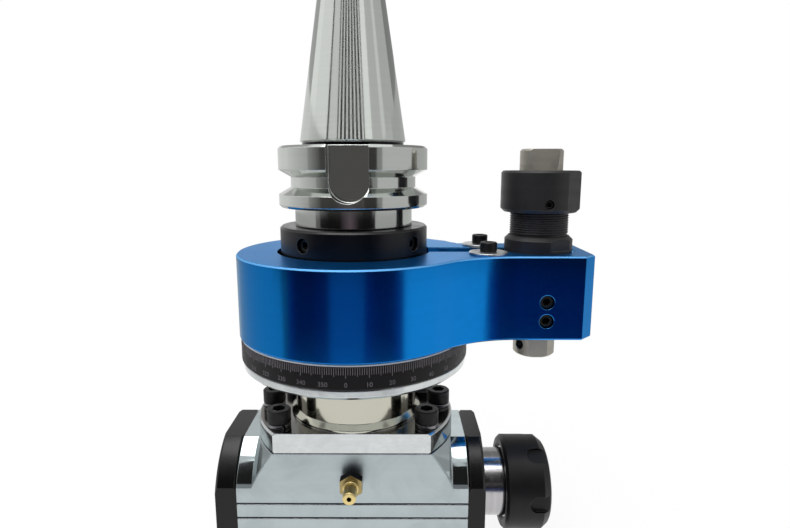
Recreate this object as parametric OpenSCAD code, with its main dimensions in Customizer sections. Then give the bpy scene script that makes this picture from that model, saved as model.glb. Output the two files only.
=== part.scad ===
// Right-angle milling head with a 7:24 taper shank, a swivelling mitre gearbox,
// a collet spindle and an anti-rotation arm that carries a sprung stop pin.
// Units are millimetres. The origin is the centre of the taper's gauge plane,
// +Z points up into the machine spindle and +X points along the arm and the tool.

/* [Taper shank] */
// Diameter of the taper at the gauge plane
gauge_d = 44.45; // [40:0.05:50]
// Length of the taper above the gauge plane
taper_l = 65.4; // [55:0.1:75]
// Diameter of the gripper flange
flange_d = 63; // [60:0.5:70]
// Height of the flange
flange_t = 25; // [24:0.5:30]
// Distance from the gauge plane down to the flange
flange_gap = 2; // [1:0.1:4]
// Diameter at the floor of the gripper groove
groove_floor_d = 53; // [52:0.5:56]
// Width of the gripper groove at the rim
groove_w = 10; // [8:0.5:12]
// Distance from the flange top to the middle of the gripper groove
groove_drop = 14.6; // [12:0.1:16]
// Width of the two drive key slots
key_slot_w = 16.1; // [14:0.1:18]
// Distance from the shank axis to the floor of a drive key slot
key_floor = 22.5; // [22.3:0.1:25]
// Length of a drive key slot, down to the end of its round bottom
key_slot_l = 22.2; // [18:0.1:23]
// Tapping bore for the pull stud
stud_bore_d = 14; // [12:0.1:16]
// Depth of the pull stud bore
stud_bore_l = 40; // [30:1:50]
// Diameter of the neck under the flange
neck_d = 50; // [48:0.5:52]
// Bare length of neck between the flange and the lock collar
neck_show = 8; // [5:0.5:14]

/* [Lock collar] */
// Outside diameter of the lock collar
collar_d = 63; // [60:0.5:66]
// Height of the lock collar
collar_h = 19; // [17:0.5:22]
// Height of the collar that stands above the arm
collar_show = 11; // [9:0.5:12]
// Number of set screws in the collar
collar_screw_n = 4; // [3:1:6]
// Diameter of a collar set screw
collar_screw_d = 6; // [4:0.5:7]
// Distance from the collar top down to its set screws
collar_screw_drop = 6; // [5:0.5:7]
// Direction of the first collar set screw, in degrees
collar_screw_turn = -36; // [-90:1:90]

/* [Arm] */
// Diameter of the ring that the head turns in
ring_d = 100; // [99:0.5:112]
// Height of the ring and the arm
arm_h = 35; // [33:0.5:42]
// Width of the arm
arm_w = 40; // [38:0.5:48]
// Distance from the shank axis to the stop pin axis
arm_reach = 80; // [78:0.5:110]
// Distance from the stop pin axis to the end of the arm
arm_nose = 20; // [19:0.5:26]
// Corner cut at the end of the arm
arm_corner = 5; // [1:0.5:8]
// Fillet between the ring and the arm
arm_fillet = 20; // [12:0.5:24]
// Small chamfer round the arm's edges
arm_chamfer = 0.6; // [0.2:0.1:1.2]
// Room between the lock collar and its bore in the ring
collar_gap = 1.7; // [1:0.1:2.2]
// Width of the slot that the lock finger slides in
slot_w = 14; // [12:0.5:15]
// Metal left under that slot, above the step in the ring
slot_web = 1.5; // [1.2:0.1:2]

/* [Stop pin] */
// Diameter of the stop pin
pin_d = 18; // [16:0.5:19]
// Height of the stop pin's top below the gauge plane
pin_drop = 3; // [1:0.5:8]
// Length of the stop pin
pin_l = 89.5; // [86:0.5:96]
// Travel of the stop pin and of the lock finger
pin_travel = 4; // [3:0.5:4]
// Distance across the flats at the top of the stop pin
pin_top_flat = 12.8; // [11:0.1:14]
// Distance across the flats at the bottom of the stop pin
pin_low_flat = 16; // [14:0.1:17]
// Outside diameter of the stop cap
cap_d = 33.2; // [32:0.1:36]
// Height of the stop cap
cap_h = 17.3; // [14:0.1:20]
// Distance from the gauge plane down to the top of the stop cap
cap_drop = 12; // [10:0.5:16]
// Distance across the two flats of the stop cap
cap_flat = 31; // [29:0.1:32]
// Outside diameter of the threaded sleeve
sleeve_d = 23.8; // [22.5:0.1:25]
// Outside diameter of the bush in the arm
bush_d = 28.8; // [28:0.1:30]
// Height of the bush above the arm
bush_show = 6.6; // [4:0.1:9]
// Distance across the two flats of the bush
bush_flat = 26.8; // [26:0.1:28]

/* [Lock finger] */
// Distance from the stop pin axis back to the washers over the finger slot
washer_reach = 23.5; // [22:0.5:26]
// Distance between the two washers
washer_span = 25; // [23:0.5:27]
// Diameter of a washer
washer_d = 16; // [12:0.5:17]
// Thickness of a washer
washer_t = 1; // [0.8:0.1:1.6]

/* [Swivel body] */
// Diameter of the tube that turns in the ring
tube_d = 76; // [75:0.5:77]
// Diameter of the graduated dial
dial_d = 99; // [97:0.5:100]
// Height of the graduated dial
dial_h = 9.7; // [8:0.1:12]
// Diameter of the bright rim under the dial
rim_d = 97.8; // [97:0.1:100]
// Height of the bright rim
rim_h = 4; // [3.6:0.1:6]
// Diameter of the waist between the rim and the mounting plate
waist_d = 54; // [53:0.5:58]
// Height of the waist
waist_h = 23; // [21:0.5:30]
// Diameter of the mounting plate
plate_d = 87; // [86:0.5:90]
// Thickness of the mounting plate
plate_h = 9; // [7:0.5:12]
// Radius of the circle that the clamp screws lie on
clamp_r = 44; // [43.8:0.1:44.2]
// Number of clamp screws
clamp_n = 4; // [3:1:6]

/* [Gearbox] */
// Width and height of the square gearbox
box_w = 58; // [57:0.5:64]
// Length of the gearbox between its end covers
box_l = 97; // [96:0.5:104]
// Diameter of the round bosses at the ends
boss_d = 64; // [63:0.5:68]
// Length of each round boss
boss_l = 6.5; // [4:0.5:8]
// Thickness of the cover on the plain end
rear_cover_t = 9; // [8:0.5:12]
// Thickness of the cover on the spindle end
front_cover_t = 7.25; // [6.5:0.25:10]
// Radius of the circle that the plate screws lie on
plate_screw_r = 37.5; // [37:0.1:38]
// Angle between neighbouring plate screws, in degrees
plate_screw_step = 34; // [30:0.5:37]
// Pitch of the three shallow grooves on the gearbox sides
groove_pitch = 6.5; // [5:0.1:8]
// Height of the coolant nozzle above the spindle axis
nozzle_rise = 18; // [16:0.5:20]

/* [Mitre gears] */
// Number of teeth on each gear
gear_teeth = 20; // [20:2:24]
// Module at the outer end of the teeth
gear_module = 2; // [1.8:0.05:2]
// Length of the teeth along the cone
gear_face = 9; // [7:0.5:9.5]

/* [Spindle and collet] */
// Diameter of the spindle nose
nose_d = 30; // [29:0.5:32]
// Distance from the front cover to the clamping nut
nut_gap = 11; // [9:0.5:16]
// Outside diameter of the clamping nut
nut_d = 42; // [40:0.5:46]
// Length of the clamping nut
nut_l = 20; // [19:0.5:24]
// Largest diameter of the collet
collet_d = 26; // [25:0.5:26.5]
// Length of the collet
collet_l = 34; // [30:0.5:36]
// Diameter of the tool that the collet holds
tool_d = 10; // [4:0.5:12]
// Number of spanner slots round the nut
nut_slot_n = 6; // [4:1:8]

/* [Hidden] */
$fn = 96;

// Clearances: a seat that stays put, a running fit, and pieces that only pass each other
seat_gap = 0.02;
run_gap = 0.05;
free_gap = 0.3;
// Overshoot of a cut past the face that it opens
cut = 1;
// General chamfer on turned edges
edge = 0.8;

// Heights along the shank axis, from the top down
flange_top_z = -flange_gap;
flange_bot_z = flange_top_z - flange_t;
collar_top_z = flange_bot_z - neck_show;
collar_bot_z = collar_top_z - collar_h;
arm_top_z = collar_top_z - collar_show;
arm_bot_z = arm_top_z - arm_h;
ring_step_z = collar_bot_z - 1;
tube_top_z = ring_step_z - free_gap;
slot_h = arm_top_z - ring_step_z - slot_web;
dial_top_z = arm_bot_z - free_gap;
dial_bot_z = dial_top_z - dial_h;
rim_bot_z = dial_bot_z - rim_h;
plate_top_z = rim_bot_z - waist_h;
plate_bot_z = plate_top_z - plate_h;
axis_z = plate_bot_z - box_w / 2;

// Upper bearing pair, 40 x 62 x 12, its cap and its locknut chamber
upper_bore = 40;
upper_od = 62;
upper_w = 12;
cap_ring_h = 3.5;
chamber_h = 6;
chamber_floor = 3;
chamber_r = 28.5;
pack_top_z = tube_top_z - cap_ring_h;
pack_bot_z = rim_bot_z + chamber_floor + chamber_h;
spacer_h = pack_top_z - pack_bot_z - 2 * upper_w;

// Lower bearing of the input shaft, 25 x 47 x 12, with its circlip below
lower_bore = 25;
lower_od = 47;
lower_w = 12;
lower_lift = 3;
lower_bot_z = plate_bot_z + lower_lift;
lower_top_z = lower_bot_z + lower_w;
clip_t = 1.5;
clip_depth = 1;
spigot_h = 3;
spigot_r = 25.5;

// Mitre gears: the pitch cones meet at the crossing of the two axes
gear_r = gear_module * gear_teeth / 2;
gear_h = gear_face * cos(45);
gear_seat_r = 8.5;
hub_r = 14;
backlash = 0.12;
pressure = 20;
key_w = 5;
key_h = 5;
key_sink = 3;
key_top_gap = 0.3;
input_spacer_h = 2.15;
input_hub_top_z = lower_bot_z - input_spacer_h - run_gap;
input_hub_l = input_hub_top_z - axis_z - gear_r;
shaft_end_z = axis_z + gear_r - gear_h + free_gap;
end_head_r = 7.5;
end_head_h = 2;
end_screw_r = 2.5;
end_screw_l = 12;

// Spindle bearings: a front pair 25 x 42 x 9 and a rear one 17 x 35 x 10
front_bore = 25;
front_od = 42;
front_w = 9;
rear_bore = 17;
rear_od = 35;
rear_w = 10;
end_x = box_l / 2;
front_x = end_x - 0.1 - 2 * front_w - seat_gap;
rear_x = -end_x + 0.1;
bearing_shoulder = 2.5;
spindle_spacer_l = 4;
output_hub_l = front_x - spindle_spacer_l - gear_r;
cavity_r = max(24, gear_r + gear_module * cos(45) + 1.5);
locknut_t = 5;
rear_recess = 6.3;
rear_recess_r = 15.5;

// Nose, nut and collet along the spindle axis
cover_x = end_x + front_cover_t;
nut_x = cover_x + nut_gap;
nut_end_x = nut_x + nut_l;
nose_x = nut_end_x - 8;
nose_thread_r = nose_d / 2 + 1;
collet_angle = 8;
seat_angle = 30;
collet_front_x = nut_end_x - 1;
collet_back_x = collet_front_x - collet_l;
collet_wide_x = nose_x + 1;
collet_r = collet_d / 2;
groove_l = 2.2;
collet_lip_x = collet_wide_x + 0.3 + groove_l;
collet_lip_r = collet_r - 0.3;
collet_lip_l = 0.65;
collet_groove_r = collet_r - 1.6;
extractor_t = 1.5;
extractor_x = collet_wide_x + 0.3 + (groove_l - extractor_t) / 2;
extractor_r = collet_r + 2.5;
slit_w = 0.8;
slit_n = 8;
slit_bridge = 4;
draw_bore_r = 7;
draw_bore_l = 8;

// Stop pin, its guide and its spring
pin_r = pin_d / 2;
pin_top_z = -pin_drop;
pin_bot_z = pin_top_z - pin_l;
pin_neck_r = pin_r - pin_travel;
finger_top_z = arm_top_z - 2.6;
finger_bot_z = arm_top_z - slot_h + free_gap;
pin_neck_h = 4.6;
bush_top_z = arm_top_z + bush_show;
bush_floor_z = arm_bot_z + 5;
sleeve_seat_z = arm_top_z - 1.5;
spring_room_h = 16;
spring_room_z = bush_floor_z + spring_room_h;
spring_room_r = 12;
pin_clip_t = 1.5;
pin_clip_r = 11.4;
pin_clip_z = spring_room_z - free_gap - pin_clip_t;
pin_wire_d = 1.4;
cap_top_z = -cap_drop;
cap_bot_z = cap_top_z - cap_h;
cap_roof = 3;
cap_screw_d = 4;
cap_screw_rise = 3.8;
sleeve_top_z = cap_top_z - cap_roof - free_gap;
bush_screw_d = 6;
bush_screw_rise = [8, 16];

// Lock finger, its guide dowel and its return spring
collar_r = collar_d / 2;
finger_gap = 0.5;
finger_nose_x = collar_r + finger_gap;
finger_end_x = arm_reach - pin_r - 0.4;
finger_w = slot_w - 2 * run_gap - 0.1;
dowel_r = 2;
dowel_x = finger_nose_x + 12;
dowel_sink = 5;
finger_window_w = 6;
finger_window_x = dowel_x - dowel_r - pin_travel - 0.4;
finger_window_end_x = finger_end_x - 6;
finger_wire_d = 0.8;
finger_coil_r = 2.2;

// Fasteners
plate_screw_d = 6;
plate_head_d = 10;
spring_washer_t = 1.6;
plate_screw_depth = 6.5;
finger_screw_d = 4;
finger_head_d = 7;
finger_screw_l = 11;
cover_screw_d = 4;
cover_head_d = 7;
cover_screw_r = 25.5;
cover_screw_depth = 8;
clamp_screw_d = 4;
clamp_head_d = 7.6;
clamp_ring_w = 6.6;
clamp_ring_h = 4.3;
slot_lip = 4;
clamp_groove_h = 5;

blue = "#1268b8";
black = "#1d1c1e";
steel = "#c4c7ca";
dark_steel = "#77797b";
brass = "#c79a3b";
rubber = "#262626";

// Solid of revolution about +Z from a profile of [radius, height] points
module turned(profile) rotate_extrude() polygon(profile);

// Places a shape drawn along +Z so that it lies along the spindle axis, +X
module on_spindle(x = 0) translate([x, 0, axis_z]) rotate([0, 90, 0]) children();

// Repeats a shape round +Z at a radius
module around(n, radius, start = 0)
    for (i = [0 : n - 1]) rotate(start + 360 / n * i) translate([radius, 0, 0]) children();

// Chamfered ring standing on z = 0
module ring(outer, inner, h, c = 0.4)
    turned([[inner, 0], [outer - c, 0], [outer, c], [outer, h - c], [outer - c, h], [inner, h]]);

// Hexagon prism by the distance across its flats
module hexagon(flats, h) cylinder(r = flats / 2 / cos(30), h = h, $fn = 6);

// Socket head screw: the head stands on z = 0 and the shank points down
module socket_screw(d, l, head_d, socket) {
    difference() {
        union() {
            ring(head_d / 2, 0, d, d * 0.08);
            translate([0, 0, -l]) cylinder(d = d, h = l + cut / 2);
        }
        translate([0, 0, d / 2]) hexagon(socket, d);
    }
}

// Grub screw from z = 0 to z = l with its socket at the top
module grub_screw(d, l, socket)
    difference() {
        ring(d / 2, 0, l, d * 0.08);
        translate([0, 0, l - d / 2]) hexagon(socket, d);
    }

// Ball bearing by bore, outside diameter and width, standing on z = 0
ball_gap = 0.12;
function ball_r(bore, od) = (od - bore) * 0.145;
function ball_path(bore, od) = (od + bore) / 4;
module race(bore, od, w, from_r, to_r)
    translate([0, 0, w / 2]) rotate_extrude() difference() {
        translate([from_r, -w / 2]) square([to_r - from_r, w]);
        translate([ball_path(bore, od), 0]) circle(ball_r(bore, od) + ball_gap);
    }
module outer_race(bore, od, w)
    race(bore, od, w, ball_path(bore, od) + ball_r(bore, od) * 0.5, od / 2 - seat_gap);
module inner_race(bore, od, w)
    race(bore, od, w, bore / 2 + seat_gap, ball_path(bore, od) - ball_r(bore, od) * 0.5);
module balls(bore, od, w, n)
    translate([0, 0, w / 2]) around(n, ball_path(bore, od)) sphere(ball_r(bore, od));

// Round wire wound into a coil that stands on z = 0
function coil_ring(k, per_turn, mean_r, wire_r, pitch, sides) =
    let (turn = 360 / per_turn * k)
    [for (i = [0 : sides - 1])
        let (a = 360 / sides * i, r = mean_r + wire_r * cos(a))
        [r * cos(turn), r * sin(turn), wire_r + pitch * k / per_turn + wire_r * sin(a)]];
module coil(mean_r, wire_d, turns, h, per_turn = 18, sides = 8) {
    steps = turns * per_turn;
    pitch = (h - wire_d) / turns;
    points = [for (k = [0 : steps]) each coil_ring(k, per_turn, mean_r, wire_d / 2, pitch, sides)];
    start_cap = [[for (i = [0 : sides - 1]) i]];
    end_cap = [[for (i = [sides - 1 : -1 : 0]) steps * sides + i]];
    walls = [for (k = [0 : steps - 1], i = [0 : sides - 1])
        let (j = (i + 1) % sides)
        [k * sides + i, (k + 1) * sides + i, (k + 1) * sides + j, k * sides + j]];
    polyhedron(points, concat(start_cap, walls, end_cap), convexity = 10);
}

// Straight mitre gear with its apex at the origin and its back towards +Z.
// The involute lies on the back cone and is carried to the end plane through the apex.
function involute(a) = tan(a) * 180 / PI - a;
module mitre_gear(hub_l, first_tooth = 0) {
    virtual_r = gear_r / cos(45);
    base_r = virtual_r * cos(pressure);
    tip_r = virtual_r + gear_module;
    root_r = virtual_r - 1.25 * gear_module;
    flank_steps = 4;
    radii = concat([root_r], [for (k = [0 : flank_steps]) base_r + (tip_r - base_r) * k / flank_steps]);
    last = len(radii) - 1;
    pitch_half = 90 * cos(45) / gear_teeth - backlash / 2 / virtual_r * 180 / PI;
    function half_angle(rho) =
        (pitch_half + involute(pressure) - involute(acos(min(1, base_r / rho)))) / cos(45);
    function end_r(rho) = let (r = rho * cos(45)) r * gear_r / (2 * gear_r - r);
    outline = [for (i = [0 : gear_teeth - 1], side = [-1, 1], k = [0 : last])
        let (rho = radii[side < 0 ? k : last - k])
        let (a = first_tooth + 360 / gear_teeth * i + side * half_angle(rho))
        end_r(rho) * [cos(a), sin(a)]];
    back = 6;
    difference() {
        union() {
            difference() {
                translate([0, 0, gear_r]) mirror([0, 0, 1])
                    linear_extrude(gear_h, scale = 1 - gear_h / gear_r) polygon(outline);
                turned([
                    [gear_r - 0.5, gear_r + 0.5],
                    [gear_r + back, gear_r - back],
                    [gear_r + back, gear_r + 0.5]
                ]);
            }
            translate([0, 0, gear_r - cut]) cylinder(r = hub_r, h = hub_l + cut);
        }
        translate([0, 0, gear_r - gear_h - cut])
            cylinder(r = gear_seat_r + seat_gap, h = gear_h + hub_l + 2 * cut);
        translate([-key_w / 2 - seat_gap, 0, gear_r - gear_h - cut])
            cube([key_w + 2 * seat_gap, gear_seat_r - key_sink + key_h + key_top_gap, gear_h + hub_l + 2 * cut]);
    }
}

// Parallel key on the +Y side of a gear seat, from the gear's back plane along its hub
module gear_key(l)
    translate([-key_w / 2, gear_seat_r - key_sink, gear_r]) cube([key_w, key_h, l]);
module key_seat(l)
    translate([-key_w / 2 - seat_gap, gear_seat_r - key_sink - seat_gap, gear_r - seat_gap])
        cube([key_w + 2 * seat_gap, key_sink + cut, l + 2 * seat_gap]);

// Arm: a ring, a straight arm with cut corners and a concave fillet on each side
arm_half = arm_w / 2;
ring_r = ring_d / 2;
arm_end_x = arm_reach + arm_nose;
fillet_x = sqrt(pow(ring_r + arm_fillet, 2) - pow(arm_half + arm_fillet, 2));
module arm_plan()
    polygon([
        [0, -arm_half], [arm_end_x - arm_corner, -arm_half], [arm_end_x, -arm_half + arm_corner],
        [arm_end_x, arm_half - arm_corner], [arm_end_x - arm_corner, arm_half], [0, arm_half]
    ]);
module arm_bar()
    hull() {
        translate([0, 0, arm_bot_z + arm_chamfer]) linear_extrude(arm_h - 2 * arm_chamfer) arm_plan();
        translate([0, 0, arm_bot_z]) linear_extrude(arm_h) offset(delta = -arm_chamfer) arm_plan();
    }
module arm_web()
    difference() {
        translate([0, 0, arm_bot_z]) linear_extrude(arm_h)
            polygon([[0, 0], [fillet_x, arm_half], [fillet_x, arm_half + arm_fillet]]);
        translate([fillet_x, arm_half + arm_fillet, 0]) turned([
            [0, arm_bot_z - cut], [arm_fillet + arm_chamfer + cut, arm_bot_z - cut],
            [arm_fillet, arm_bot_z + arm_chamfer], [arm_fillet, arm_top_z - arm_chamfer],
            [arm_fillet + arm_chamfer + cut, arm_top_z + cut], [0, arm_top_z + cut]
        ]);
    }
module clamp_groove() {
    mouth = clamp_screw_d / 2 + free_gap;
    head = clamp_ring_w / 2 + free_gap;
    lip_z = arm_bot_z + slot_lip;
    top_z = lip_z + clamp_groove_h;
    turned([
        [clamp_r - mouth, arm_bot_z - cut], [clamp_r + mouth, arm_bot_z - cut], [clamp_r + mouth, lip_z],
        [clamp_r + head, lip_z], [clamp_r + head, top_z], [clamp_r - head, top_z],
        [clamp_r - head, lip_z], [clamp_r - mouth, lip_z]
    ]);
}
module at_washers()
    for (side = [-1, 1]) translate([arm_reach - washer_reach, side * washer_span / 2, 0]) children();
module at_bush_screws()
    for (rise = bush_screw_rise) translate([arm_reach, 0, arm_bot_z + rise]) rotate([90, 0, 0]) children();
module arm_body() color(blue)
    difference() {
        union() {
            translate([0, 0, arm_bot_z]) ring(ring_r, 0, arm_h, arm_chamfer);
            arm_bar();
            arm_web();
            mirror([0, 1, 0]) arm_web();
        }
        translate([0, 0, ring_step_z]) cylinder(r = collar_r + collar_gap, h = arm_top_z - ring_step_z + cut);
        translate([0, 0, arm_bot_z - cut]) cylinder(d = tube_d + 2 * run_gap, h = ring_step_z - arm_bot_z + cut);
        clamp_groove();
        translate([0, -slot_w / 2, arm_top_z - slot_h]) cube([arm_reach, slot_w, slot_h + cut]);
        translate([arm_reach, 0, bush_floor_z]) cylinder(d = bush_d + 2 * seat_gap, h = arm_h);
        translate([arm_reach, 0, arm_top_z - 1.4])
            cylinder(r1 = bush_d / 2, r2 = bush_d / 2 + 1.4 + cut, h = 1.4 + cut);
        translate([arm_reach, 0, arm_bot_z - cut]) cylinder(d = pin_d + 2 * free_gap, h = arm_h);
        at_bush_screws() cylinder(d = bush_screw_d + 2 * seat_gap, h = arm_w);
        at_washers() translate([0, 0, arm_top_z - finger_screw_l - cut])
            cylinder(d = finger_screw_d + 2 * seat_gap, h = finger_screw_l + 2 * cut);
        translate([dowel_x, 0, arm_top_z - slot_h - dowel_sink]) cylinder(r = dowel_r + seat_gap, h = slot_h);
    }

// Bush in the arm: it guides the pin, holds the sleeve and houses the pin's spring
module bush_flats(flat, h)
    for (turn = [-61, 119]) rotate(turn) translate([flat / 2, -bush_d, 0]) cube([bush_d, 2 * bush_d, h]);
module stop_bush() color(black)
    translate([arm_reach, 0, 0]) difference() {
        turned([
            [0, bush_floor_z], [bush_d / 2, bush_floor_z], [bush_d / 2, bush_top_z - 1.6],
            [bush_d / 2 - 1.6, bush_top_z], [0, bush_top_z]
        ]);
        translate([0, 0, bush_floor_z - cut]) cylinder(d = pin_d + 2 * run_gap, h = pin_l);
        translate([0, 0, sleeve_seat_z]) cylinder(d = sleeve_d + 2 * seat_gap, h = arm_h);
        translate([0, 0, bush_floor_z - cut]) cylinder(r = spring_room_r, h = spring_room_h + cut);
        translate([-bush_d, -slot_w / 2, finger_bot_z - free_gap])
            cube([bush_d, slot_w, finger_top_z - finger_bot_z + 2 * free_gap]);
        translate([0, 0, arm_top_z + cut]) bush_flats(bush_flat, bush_show);
    }
module stop_sleeve() color(black)
    translate([arm_reach, 0, sleeve_seat_z]) difference() {
        ring(sleeve_d / 2, 0, sleeve_top_z - sleeve_seat_z, 0.6);
        translate([0, 0, -cut]) cylinder(d = pin_d + 2 * run_gap, h = pin_l);
    }
module stop_cap() color(black)
    translate([arm_reach, 0, 0]) difference() {
        turned([
            [0, cap_bot_z], [cap_d / 2 - 1.4, cap_bot_z], [cap_d / 2, cap_bot_z + 1.4],
            [cap_d / 2, cap_top_z - edge], [cap_d / 2 - edge, cap_top_z], [0, cap_top_z]
        ]);
        translate([0, 0, cap_bot_z - cut]) cylinder(d = sleeve_d + 2 * seat_gap, h = cap_h - cap_roof + cut);
        translate([0, 0, cap_bot_z]) cylinder(d = pin_d + 2 * run_gap, h = cap_h + cut);
        for (turn = [-41, 139]) rotate(turn)
            translate([cap_flat / 2, -cap_d, cap_bot_z - cut]) cube([cap_d, 2 * cap_d, cap_h + 2 * cut]);
        translate([0, 0, cap_bot_z + cap_screw_rise]) rotate([90, 0, 0])
            cylinder(d = cap_screw_d + 2 * seat_gap, h = cap_d);
    }
module cap_set_screw() color(dark_steel)
    translate([arm_reach, -sleeve_d / 2 - seat_gap, cap_bot_z + cap_screw_rise]) rotate([90, 0, 0])
        grub_screw(cap_screw_d, (cap_d - sleeve_d) / 2 - 1.2, 2);
module bush_set_screws() color(dark_steel)
    at_bush_screws() translate([0, 0, bush_d / 2 + seat_gap])
        grub_screw(bush_screw_d, (arm_w - bush_d) / 2 - 1.5, 3);
module finger_washers() color(steel)
    at_washers() translate([0, 0, arm_top_z]) difference() {
        ring(washer_d / 2, 0, washer_t, 0.2);
        translate([0, 0, -cut]) cylinder(d = finger_screw_d + 0.3, h = washer_t + 2 * cut);
    }
module finger_screws() color(black)
    at_washers() translate([0, 0, arm_top_z + washer_t])
        socket_screw(finger_screw_d, finger_screw_l, finger_head_d, 3);
module finger_dowel() color(dark_steel)
    translate([dowel_x, 0, arm_top_z - slot_h - dowel_sink])
        ring(dowel_r, 0, dowel_sink + finger_top_z - arm_top_z + slot_h - 0.6, 0.3);

// Return spring of the finger: from the dowel to the end of the finger's window
module finger_spring() color(dark_steel)
    translate([dowel_x + dowel_r + 0.1, 0, (finger_top_z + finger_bot_z) / 2]) rotate([0, 90, 0])
        coil(finger_coil_r, finger_wire_d, 9, finger_window_end_x - dowel_x - dowel_r - 0.2, 12, 6);

// Spring of the stop pin: from the arm's floor up to the pin's circlip
module pin_spring() color(dark_steel)
    translate([arm_reach, 0, bush_floor_z + 0.05])
        coil(pin_r + 1.5, pin_wire_d, 5, pin_clip_z - bush_floor_z - 0.1);

// Stop pin: tapered flats on top, a cam neck at the finger and flats with a cross hole below
module stop_pin() color(dark_steel)
    translate([arm_reach, 0, 0]) difference() {
        turned([
            [0, pin_bot_z], [pin_r - edge, pin_bot_z], [pin_r, pin_bot_z + edge],
            [pin_r, pin_clip_z - seat_gap], [pin_r - 0.6, pin_clip_z - seat_gap],
            [pin_r - 0.6, pin_clip_z + pin_clip_t + seat_gap], [pin_r, pin_clip_z + pin_clip_t + seat_gap],
            [pin_r, finger_top_z], [pin_neck_r, finger_top_z + pin_travel],
            [pin_neck_r, finger_top_z + pin_travel + pin_neck_h],
            [pin_r, finger_top_z + 2 * pin_travel + pin_neck_h],
            [pin_r, pin_top_z - edge], [pin_r - edge, pin_top_z], [0, pin_top_z]
        ]);
        for (side = [-1, 1]) translate([0, 0, pin_top_z]) rotate([side * 7, 0, 0])
            translate([-pin_d, side * (pin_top_flat / 2 + pin_d / 2) - pin_d / 2, -14])
                cube([2 * pin_d, pin_d, 14 + 3 * cut]);
        for (side = [-1, 1]) translate([-pin_d, side * (pin_low_flat / 2 + pin_d / 2) - pin_d / 2, pin_bot_z - cut])
            cube([2 * pin_d, pin_d, 9 + cut]);
        translate([0, 0, pin_bot_z + 5]) rotate(-147) rotate([0, 90, 0]) cylinder(r = 2.2, h = pin_d);
    }
module pin_circlip() color(dark_steel)
    translate([arm_reach, 0, pin_clip_z]) difference() {
        ring(pin_clip_r, pin_r - 0.6 + seat_gap, pin_clip_t, 0.2);
        rotate(90) translate([0, -3, -cut]) cube([pin_d, 6, pin_clip_t + 2 * cut]);
    }

// Lock finger: its nose faces the collar's notch and its undercut end rides on the pin's cone
module lock_finger() color(dark_steel)
    difference() {
        rotate([90, 0, 0]) translate([0, 0, -finger_w / 2]) linear_extrude(finger_w) polygon([
            [finger_nose_x, finger_bot_z], [finger_end_x - (finger_top_z - finger_bot_z), finger_bot_z],
            [finger_end_x, finger_top_z], [finger_nose_x, finger_top_z]
        ]);
        translate([finger_window_x, -finger_window_w / 2, finger_bot_z - cut])
            cube([finger_window_end_x - finger_window_x, finger_window_w, slot_h]);
    }

// Swivel body: bearing tube, rim, waist and the plate that carries the gearbox
module plate_trim(h)
    translate([-plate_d, -box_w / 2, 0]) cube([2 * plate_d, box_w, h]);
module at_plate_screws()
    for (side = [0, 180], step = [-1, 0, 1])
        rotate(side + step * plate_screw_step) translate([plate_screw_r, 0, 0]) children();
module at_clamp_screws() around(clamp_n, clamp_r, 45) children();
module swivel_body() color(steel)
    difference() {
        union() {
            translate([0, 0, rim_bot_z]) cylinder(d = tube_d, h = tube_top_z - rim_bot_z);
            turned([
                [0, rim_bot_z], [rim_d / 2 - 1.2, rim_bot_z], [rim_d / 2, rim_bot_z + 1.2],
                [rim_d / 2, dial_bot_z - 0.4], [rim_d / 2 - 0.4, dial_bot_z], [0, dial_bot_z]
            ]);
            turned([
                [0, plate_top_z - cut], [waist_d / 2 + 2, plate_top_z - cut], [waist_d / 2 + 2, plate_top_z + 1],
                [waist_d / 2, plate_top_z + 3], [waist_d / 2, rim_bot_z + cut], [0, rim_bot_z + cut]
            ]);
            intersection() {
                translate([0, 0, plate_bot_z]) ring(plate_d / 2, 0, plate_h, edge);
                translate([0, 0, plate_bot_z]) plate_trim(plate_h);
            }
            translate([0, 0, plate_bot_z - spigot_h]) cylinder(r = spigot_r, h = plate_h);
        }
        translate([0, 0, pack_bot_z]) cylinder(d = upper_od, h = tube_top_z - pack_bot_z + cut);
        translate([0, 0, rim_bot_z + chamber_floor]) cylinder(r = chamber_r, h = chamber_h + cut);
        translate([0, 0, lower_top_z - cut]) cylinder(d = lower_od - 10, h = waist_h);
        translate([0, 0, plate_bot_z - spigot_h - cut]) cylinder(d = lower_od, h = lower_top_z - plate_bot_z + spigot_h + cut);
        translate([0, 0, lower_bot_z - clip_t - 2 * seat_gap])
            cylinder(d = lower_od + 2 * clip_depth, h = clip_t + seat_gap);
        at_plate_screws() translate([0, 0, plate_bot_z - cut]) cylinder(d = plate_screw_d + 0.4, h = plate_h + 2 * cut);
        at_clamp_screws() translate([0, 0, rim_bot_z - cut]) cylinder(d = clamp_screw_d + 0.4, h = rim_h + 2 * cut);
        at_clamp_screws() translate([0, 0, rim_bot_z]) clamp_head(seat_gap);
    }
module clamp_head(gap)
    turned([
        [0, -cut], [clamp_head_d / 2 + gap, -cut], [clamp_head_d / 2 + gap, 0.3],
        [clamp_screw_d / 2 + gap, 0.3 + (clamp_head_d - clamp_screw_d) / 2],
        [0, 0.3 + (clamp_head_d - clamp_screw_d) / 2]
    ]);
module dial_ring() color(black)
    translate([0, 0, dial_bot_z]) difference() {
        ring(dial_d / 2, tube_d / 2 + seat_gap, dial_h, 0.5);
        at_clamp_screws() translate([0, 0, -cut]) cylinder(d = clamp_screw_d + 0.4, h = dial_h + 2 * cut);
    }
clamp_ring_z = arm_bot_z + slot_lip + free_gap;
module clamp_ring() color(dark_steel)
    translate([0, 0, clamp_ring_z]) difference() {
        ring(clamp_r + clamp_ring_w / 2, clamp_r - clamp_ring_w / 2, clamp_ring_h, 0.3);
        at_clamp_screws() translate([0, 0, -cut]) cylinder(d = clamp_screw_d + 2 * seat_gap, h = clamp_ring_h + 2 * cut);
    }
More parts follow.
